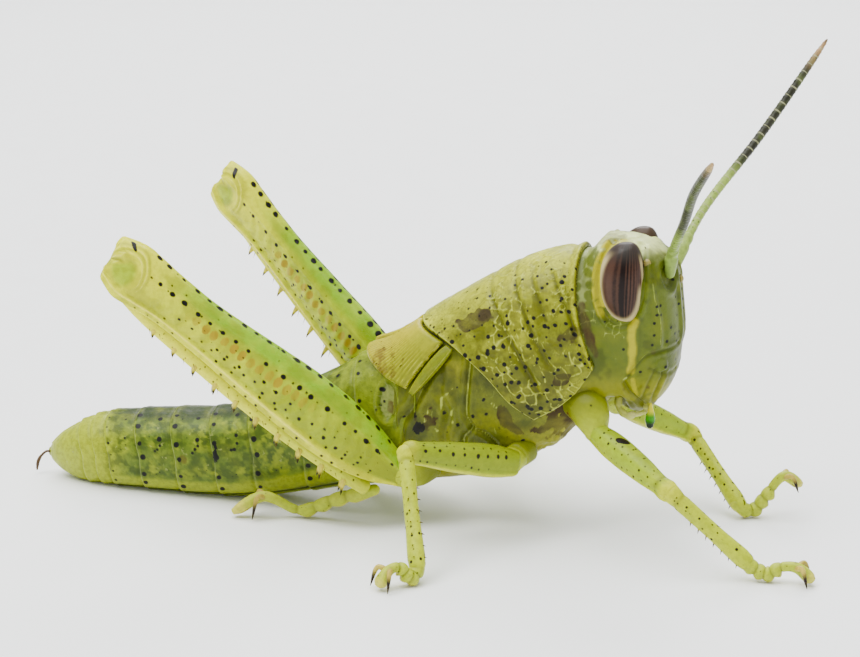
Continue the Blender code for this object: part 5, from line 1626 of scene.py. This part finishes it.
def make_hind_thigh(leg):
    hip, knee, _, back, side, down = thigh_frame(leg)
    length = np.linalg.norm(hip - knee)
    where = np.linspace(0, 1, 250)
    across, up, half, rise, drop = thigh_sections(leg, where, 128)
    centres = hip - back * length * where[:, None]
    rings = side * across[..., None] - down * up[..., None]
    alongs = np.broadcast_to(-back, centres.shape)
    points = domed(centres[:, None], rings, alongs[:, None], (0.35, 0.25))
    coat = Coat(points)
    # heights on the face: 0 in the middle, 1 at the crest, -1 at the lower edge
    level = widened(np.where(up > 0, up / rise[:, None], up / drop[:, None]))
    lower = widened(up / drop[:, None])
    part = widened(where)[:, None] + 0 * level
    far = part * length                       # from the hip
    outside = widened(np.abs(across) / half[:, None])
    on_face = step(0.3, 0.5, outside)
    height = 0.03 * uneven(points, 0.9, 4) + 0.012 * uneven(points, 0.25, 8)

    # keels along the top, above the middle, and low on the face
    height += 0.1 * hump(outside, 0.12) * (level > 0.8)
    upper_keel = 0.42 + 0.12 * np.sin(part * 3)
    height += 0.05 * hump(level, 0.05, upper_keel) * on_face
    low_run = step(0.1, 0.25, part) * (level < 0)
    height += 0.1 * hump(lower, 0.06, LOW_KEEL) * low_run
    height -= 0.06 * hump(lower - LOW_KEEL, 0.08, 0.17) * low_run
    chevron = far - 0.62 * np.abs(level + 0.15) * step(0.02, 0.2, np.abs(level + 0.15))
    band = step(-0.66, -0.56, level) * step(0.34, 0.26, level) * on_face
    wave = np.cos(2 * math.pi * chevron / CHEVRON_GAP)
    height += 0.03 * wave * band * step(0.06, 0.14, part) * step(0.92, 0.8, part)
    strokes = ramp(np.abs(chevron / CHEVRON_GAP - np.rint(chevron / CHEVRON_GAP)) * CHEVRON_GAP, 0.0)
    strokes = strokes * band * 0.97 * step(0.4, 0.25, part) * step(0.03, 0.06, part)
    coat.put(PALE, strokes * step(0.48, 0.56, clouds(points, 0.6, 77)))

    # colours: bright green above, yellow below and towards the knee, orange ovals along the middle
    outward_side = side[1] if leg.endswith("L") else -side[1]
    out_side = step(-0.1, 0.3, widened(across / half[:, None]) * outward_side)
    green = level - 0.25 * (1 - out_side)
    coat.put(THIRD, 0.9 * step(0.34, 0.6, green) * step(0.97, 0.7, part))
    by_knee = 0.95 * step(0.62, 0.95, part + 0.06 * level)
    coat.put(SECOND, np.maximum(0.85 * step(-0.55, -0.8, lower), by_knee))
    coat.put(SECOND, 0.5 * step(0.35, 0.7, part) * step(0.3, 0.0, level))
    coat.fade(THIRD, 0.6 * step(0.7, 0.9, part))
    coat.put(DEEP, 0.6 * step(0.45, 0.0, part) * step(0.7, 0.3, np.abs(level + 0.2)) * out_side)
    coat.put(DEEP, 0.35 * step(0.55, 0.4, clouds(points, 0.9, 66)) * on_face)
    chance = random.Random(29)
    place = length * 0.2
    while place < length * 0.86:
        middle = 0.1 + chance.uniform(-0.03, 0.03)
        away = np.hypot((far - place) / 0.25, (level - middle) / (0.2 + 0.04 * chance.random()))
        strong = step(0.24, 0.36, place / length) * step(0.8, 0.7, place / length)
        strong *= chance.uniform(0.7, 0.95)
        oval = step(1.15, 0.75, away + 0.5 * uneven(points, 0.3, 60)) * on_face
        coat.put(STAIN, oval * 0.72 * strong)
        place += chance.uniform(0.5, 0.64)
    for gap, size, share, long in CREST_DOTS:
        for place in dot_row(chance, length * 0.03, length * 0.93, gap, share, 0.75):
            big = size * chance.uniform(0.75, 1.15)
            chance.random()               # keeps the later draws as they are
            away = np.hypot((far - place) / long, np.abs(outside - 0.2) * 0.75)
            coat.put(SPOT, ramp(away, big) * (level > 0.7))
    for row, gap, size, spread, share, start, end in FACE_DOTS:
        for place in dot_row(chance, length * start, length * end, gap, share, 0.75):
            big = size * chance.uniform(0.75, 1.15)
            middle = row + chance.uniform(-spread, spread)
            away = np.hypot((far - place) / 1.25, (level - middle) * 1.5)
            coat.put(SPOT, ramp(away, big) * on_face)
    keel = ramp(np.abs(level - upper_keel + 0.03) * 1.5, 0.0)
    coat.put(PALE, keel * 0.88 * on_face * step(0.95, 0.85, part))
    coat.put(PALE, ramp(np.abs(lower - LOW_KEEL) * 1.5, 0.05) * (level < 0) * step(0.1, 0.3, part))

    # the knee: a pale oval with curved ridges round it, and two lobes at the end
    knob = np.hypot((part - 0.965) * length / 0.95, (level + 0.12) * 1.35 / 0.95)
    arc = step(0.86, 0.9, part) * on_face * step(-0.75, -0.3, level)
    wobble = 0.15 * (cloud(points, 0.8, 68) - 0.5)
    for ring, lift in ((1.0, 0.07), (1.25, 0.05)):
        height += lift * hump(knob - ring + wobble, 0.1) * arc
        coat.put(DEEP, 0.45 * hump(knob - ring - 0.15 + wobble, 0.07) * arc)
        coat.put(PALE, 0.54 * hump(knob - ring + wobble, 0.1) * arc)
    height -= 0.07 * step(0.95, 0.5, knob) * on_face
    coat.put(DEEP, 0.4 * step(0.42, 0.6, clouds(points, 0.6, 67)) * step(0.9, 0.7, knob) * on_face)
    coat.put(THIRD, 0.6 * step(0.85, 0.5, knob) * on_face)
    # the upper lobe reaches further than the lower one, with a notch between them
    reach = 0.3 * step(0.35, 0.8, level) - 0.25 * hump(level, 0.16, NOTCH)
    reach = reach * step(0.93, 1.0, part)
    ends = np.cos(np.arange(1, END_RINGS + 1) / (END_RINGS + 0.4) * math.pi / 2)
    shrink = np.concatenate((np.ones(END_RINGS + len(where)), ends))
    points = points - back * (reach * shrink[:, None])[..., None]
    coat.put(DEEP, 0.7 * hump(level, 0.1, NOTCH) * step(0.985, 1.0, part))
    black_edge = hump(part - 0.93 - 0.05 * level, 0.008) * step(0.55, 0.8, level)
    coat.put(SPOT, 0.8 * black_edge * step(0.15, 0.3, outside))
    coat.put(GLOSS, 0.5)
    cover(f"{leg}_thigh", points, height, coat, "thigh", f"{leg}_femur")


# rows of dots on a hind shin: round the limb, gap and radius
HIND_SHIN_DOTS = (1.0, 0.7, 0.05), (1.35, 0.85, 0.055)
HIND_HAIRS = 26


def make_hind_shin(leg):
    _, knee, _, back, side, down = thigh_frame(leg)
    route = [knee + back * along + down * depth for along, depth in shin_depths(leg)]
    points, far, turn = limb_grid(route, HIND_SHIN, -down, 260, 40, 2.1, (0.2, 0.2))
    coat = Coat(points)
    length = far.max()
    below = np.abs(turn - 90) / 90
    chance = random.Random(41)
    for level, gap, size in HIND_SHIN_DOTS:
        for place in dot_row(chance, 1.0, length - 0.5, gap, 0.75):
            away = np.hypot(far - place, (below - level + chance.uniform(-0.1, 0.1)) * 0.6)
            coat.put(SPOT, ramp(away, size * chance.uniform(0.7, 1.15)))
    height = 0.02 * uneven(points, 0.6, 4) + 0.03 * hump(below, 0.1, 1.2)
    coat.put(SECOND, step(0.35, 0.9, far / length) * 0.7)
    coat.put(THIRD, 0.5 * step(0.8, 1.0, far / length))
    cover(f"{leg}_shin", points, height, coat, "shin", f"{leg}_tibia")

    spikes = []
    shortest, longest = SPINE_LENGTHS
    for number in range(SHIN_SPINES):
        part = number / (SHIN_SPINES - 1)
        size = shortest + (longest - shortest) * part
        centre = on_route(route, np.array(FIRST_SPINE + (LAST_SPINE - FIRST_SPINE) * part))
        for lean in (-1, 1):
            out = unit(down * 0.8 + side * lean * 0.55)
            tip = centre + out * 0.42 + unit(out + back * 0.35) * size
            spikes.append(spike(centre + out * 0.3, tip, 0.17, back * -0.02, 0.62, 10))
    for number in range(HIND_HAIRS):
        centre = on_route(route, np.array(0.08 + 0.88 * number / HIND_HAIRS))
        out = unit(down * 0.7 + side * (-1, 1, 0.4, -0.4)[number % 4])
        root = centre + out * 0.34
        spikes.append(spike(root, root + unit(out + back * 0.7) * 0.42, 0.022, black_from=0.1, count=5))
    make_piece(f"{leg}_shin_spines", spikes, "spine")


FOOT_JOINTS = 0.19, 0.31, 0.42, 0.55      # shares of its length
CLAW_WIDTHS = (0.0, 0.15), (0.4, 0.13), (0.75, 0.08), (1.0, 0.02)


def make_foot(leg):
    ankle, *toes = (np.array(point) for point in (LEG_JOINTS[leg][2], *TOE_ROUTES[leg]))
    start = ankle - unit(toes[0] - ankle) * 0.25
    points, far, turn = limb_grid((start, *toes), FOOT, (0, 0, 1), 150, 40, 2.2, (0.3, 0.05))
    coat = Coat(points)
    part = far / far.max()
    below = np.abs(turn - 90) / 90
    height = 0.02 * uneven(points, 0.4, 4)
    for joint in FOOT_JOINTS:
        height -= 0.035 * hump(part, 0.012, joint)
        coat.put(DEEP, 0.5 * hump(part, 0.014, joint))
    coat.put(SECOND, np.maximum(step(1.45, 1.7, below) * 0.9, step(0.86, 0.95, part)))
    coat.put(STAIN, 0.75 * hump(below, 0.07, 1.5) * step(0.86, 0.9, part))
    coat.put(SPOT, specks(far, np.radians(turn) * 0.4, 0.42, 0.04, 0.4, 7))
    points = raised(points, height)
    points[..., 2] = np.maximum(points[..., 2], FLOOR_CLEARANCE)
    make_piece(f"{leg}_foot", [capped(points, coat)], "foot", f"{leg}_tarsus")


def make_claws(leg):
    claw_joint, tip = np.array(TOE_ROUTES[leg][-2:])
    ahead = unit((tip[0] - claw_joint[0], tip[1] - claw_joint[1], 0))
    across = np.array((-ahead[1], ahead[0], 0))
    rows = [(where, radius, radius, radius) for where, radius in CLAW_WIDTHS]
    claws = []
    for lean in (-1, 1):
        root = claw_joint + across * 0.12 * lean
        bend = claw_joint + ahead * 0.34 + across * 0.5 * lean + (0, 0, 0.1)
        point = claw_joint + ahead * 0.62 + across * 0.72 * lean
        point[2] = max(tip[2] - CLAW_DROP, 0.03)
        grid, far, _ = limb_grid((root, bend, point), rows, (0.13, 0.21, 0.97), 22, 12, bulges=(0.1, 0.02))
        grid[..., 2] = np.maximum(grid[..., 2], FLOOR_CLEARANCE)
        coat = Coat(grid)
        coat.put(SECOND, step(0.42, 0.7, far / far.max()))
        claws.append(capped(grid, coat))
    make_piece(f"{leg}_claws", claws, "claw")


# ---------------------------------------------------------------- floor, light and camera
def make_floor():
    bpy.ops.object.select_all(action="DESELECT")
    bpy.ops.mesh.primitive_grid_add(x_subdivisions=4, y_subdivisions=4, size=1.6)
    floor = bpy.context.object
    floor.name = "floor"
    floor.data.materials.append(MATERIALS["floor"][1])


def make_light(name, place, target, size, power, colour=(1, 1, 1)):
    light = bpy.data.lights.new(name, "AREA")
    light.shape = "DISK"
    light.size = size
    light.energy = power
    light.color = colour
    thing = bpy.data.objects.new(name, light)
    bpy.context.scene.collection.objects.link(thing)
    thing.location = place
    thing.rotation_euler = (Vector(target) - Vector(place)).to_track_quat("-Z", "Y").to_euler()


def make_lights():
    world = bpy.data.worlds.new("studio")
    world.use_nodes = True
    back = world.node_tree.nodes["Background"]
    back.inputs["Color"].default_value = (0.94, 0.97, 1.0, 1.0)
    back.inputs["Strength"].default_value = 0.78
    bpy.context.scene.world = world
    make_light("overhead", (-0.08, 0.0, 0.75), (0, 0, 0), 0.9, 11.5)
    make_light("key", (-0.16, -0.14, 0.30), (0, 0, 0.01), 0.16, 0.6)
    make_light("rim", (-0.05, 0.24, 0.20), (0, 0, 0.01), 0.18, 0.5)


CAMERA_TURN, CAMERA_RISE = 16.5, 15.0     # degrees
CAMERA_FAR = 0.123                        # metres
LENS = 96.7


def make_camera():
    turn, rise = math.radians(CAMERA_TURN), math.radians(CAMERA_RISE)
    back = Vector((math.sin(turn) * math.cos(rise), -math.cos(turn) * math.cos(rise), math.sin(rise)))
    target = Vector((SHIFT * MM, 0.0, 0.01023))
    camera = bpy.data.cameras.new("camera")
    camera.lens = LENS
    camera.sensor_width = 36
    camera.clip_start = 0.005
    thing = bpy.data.objects.new("camera", camera)
    bpy.context.scene.collection.objects.link(thing)
    thing.location = target + back * CAMERA_FAR
    thing.rotation_euler = back.to_track_quat("Z", "Y").to_euler()
    bpy.context.scene.camera = thing


# ---------------------------------------------------------------- the whole animal
for make in (make_camera, make_lights, make_floor, make_abdomen, make_thorax, make_shield, make_buds,
             make_head, make_eyes, make_ocelli, make_feelers, make_palps, make_drop, make_thread):
    make()
for leg in LEG_JOINTS:
    make_coxa(leg)
    if leg.startswith("hind"):
        make_hind_thigh(leg)
        make_hind_shin(leg)
    else:
        seed = 3 + sum(map(ord, leg)) % 17
        make_small_thigh(leg, seed)
        make_small_shin(leg, seed)
        make_small_spines(leg)
    make_foot(leg)
    make_claws(leg)
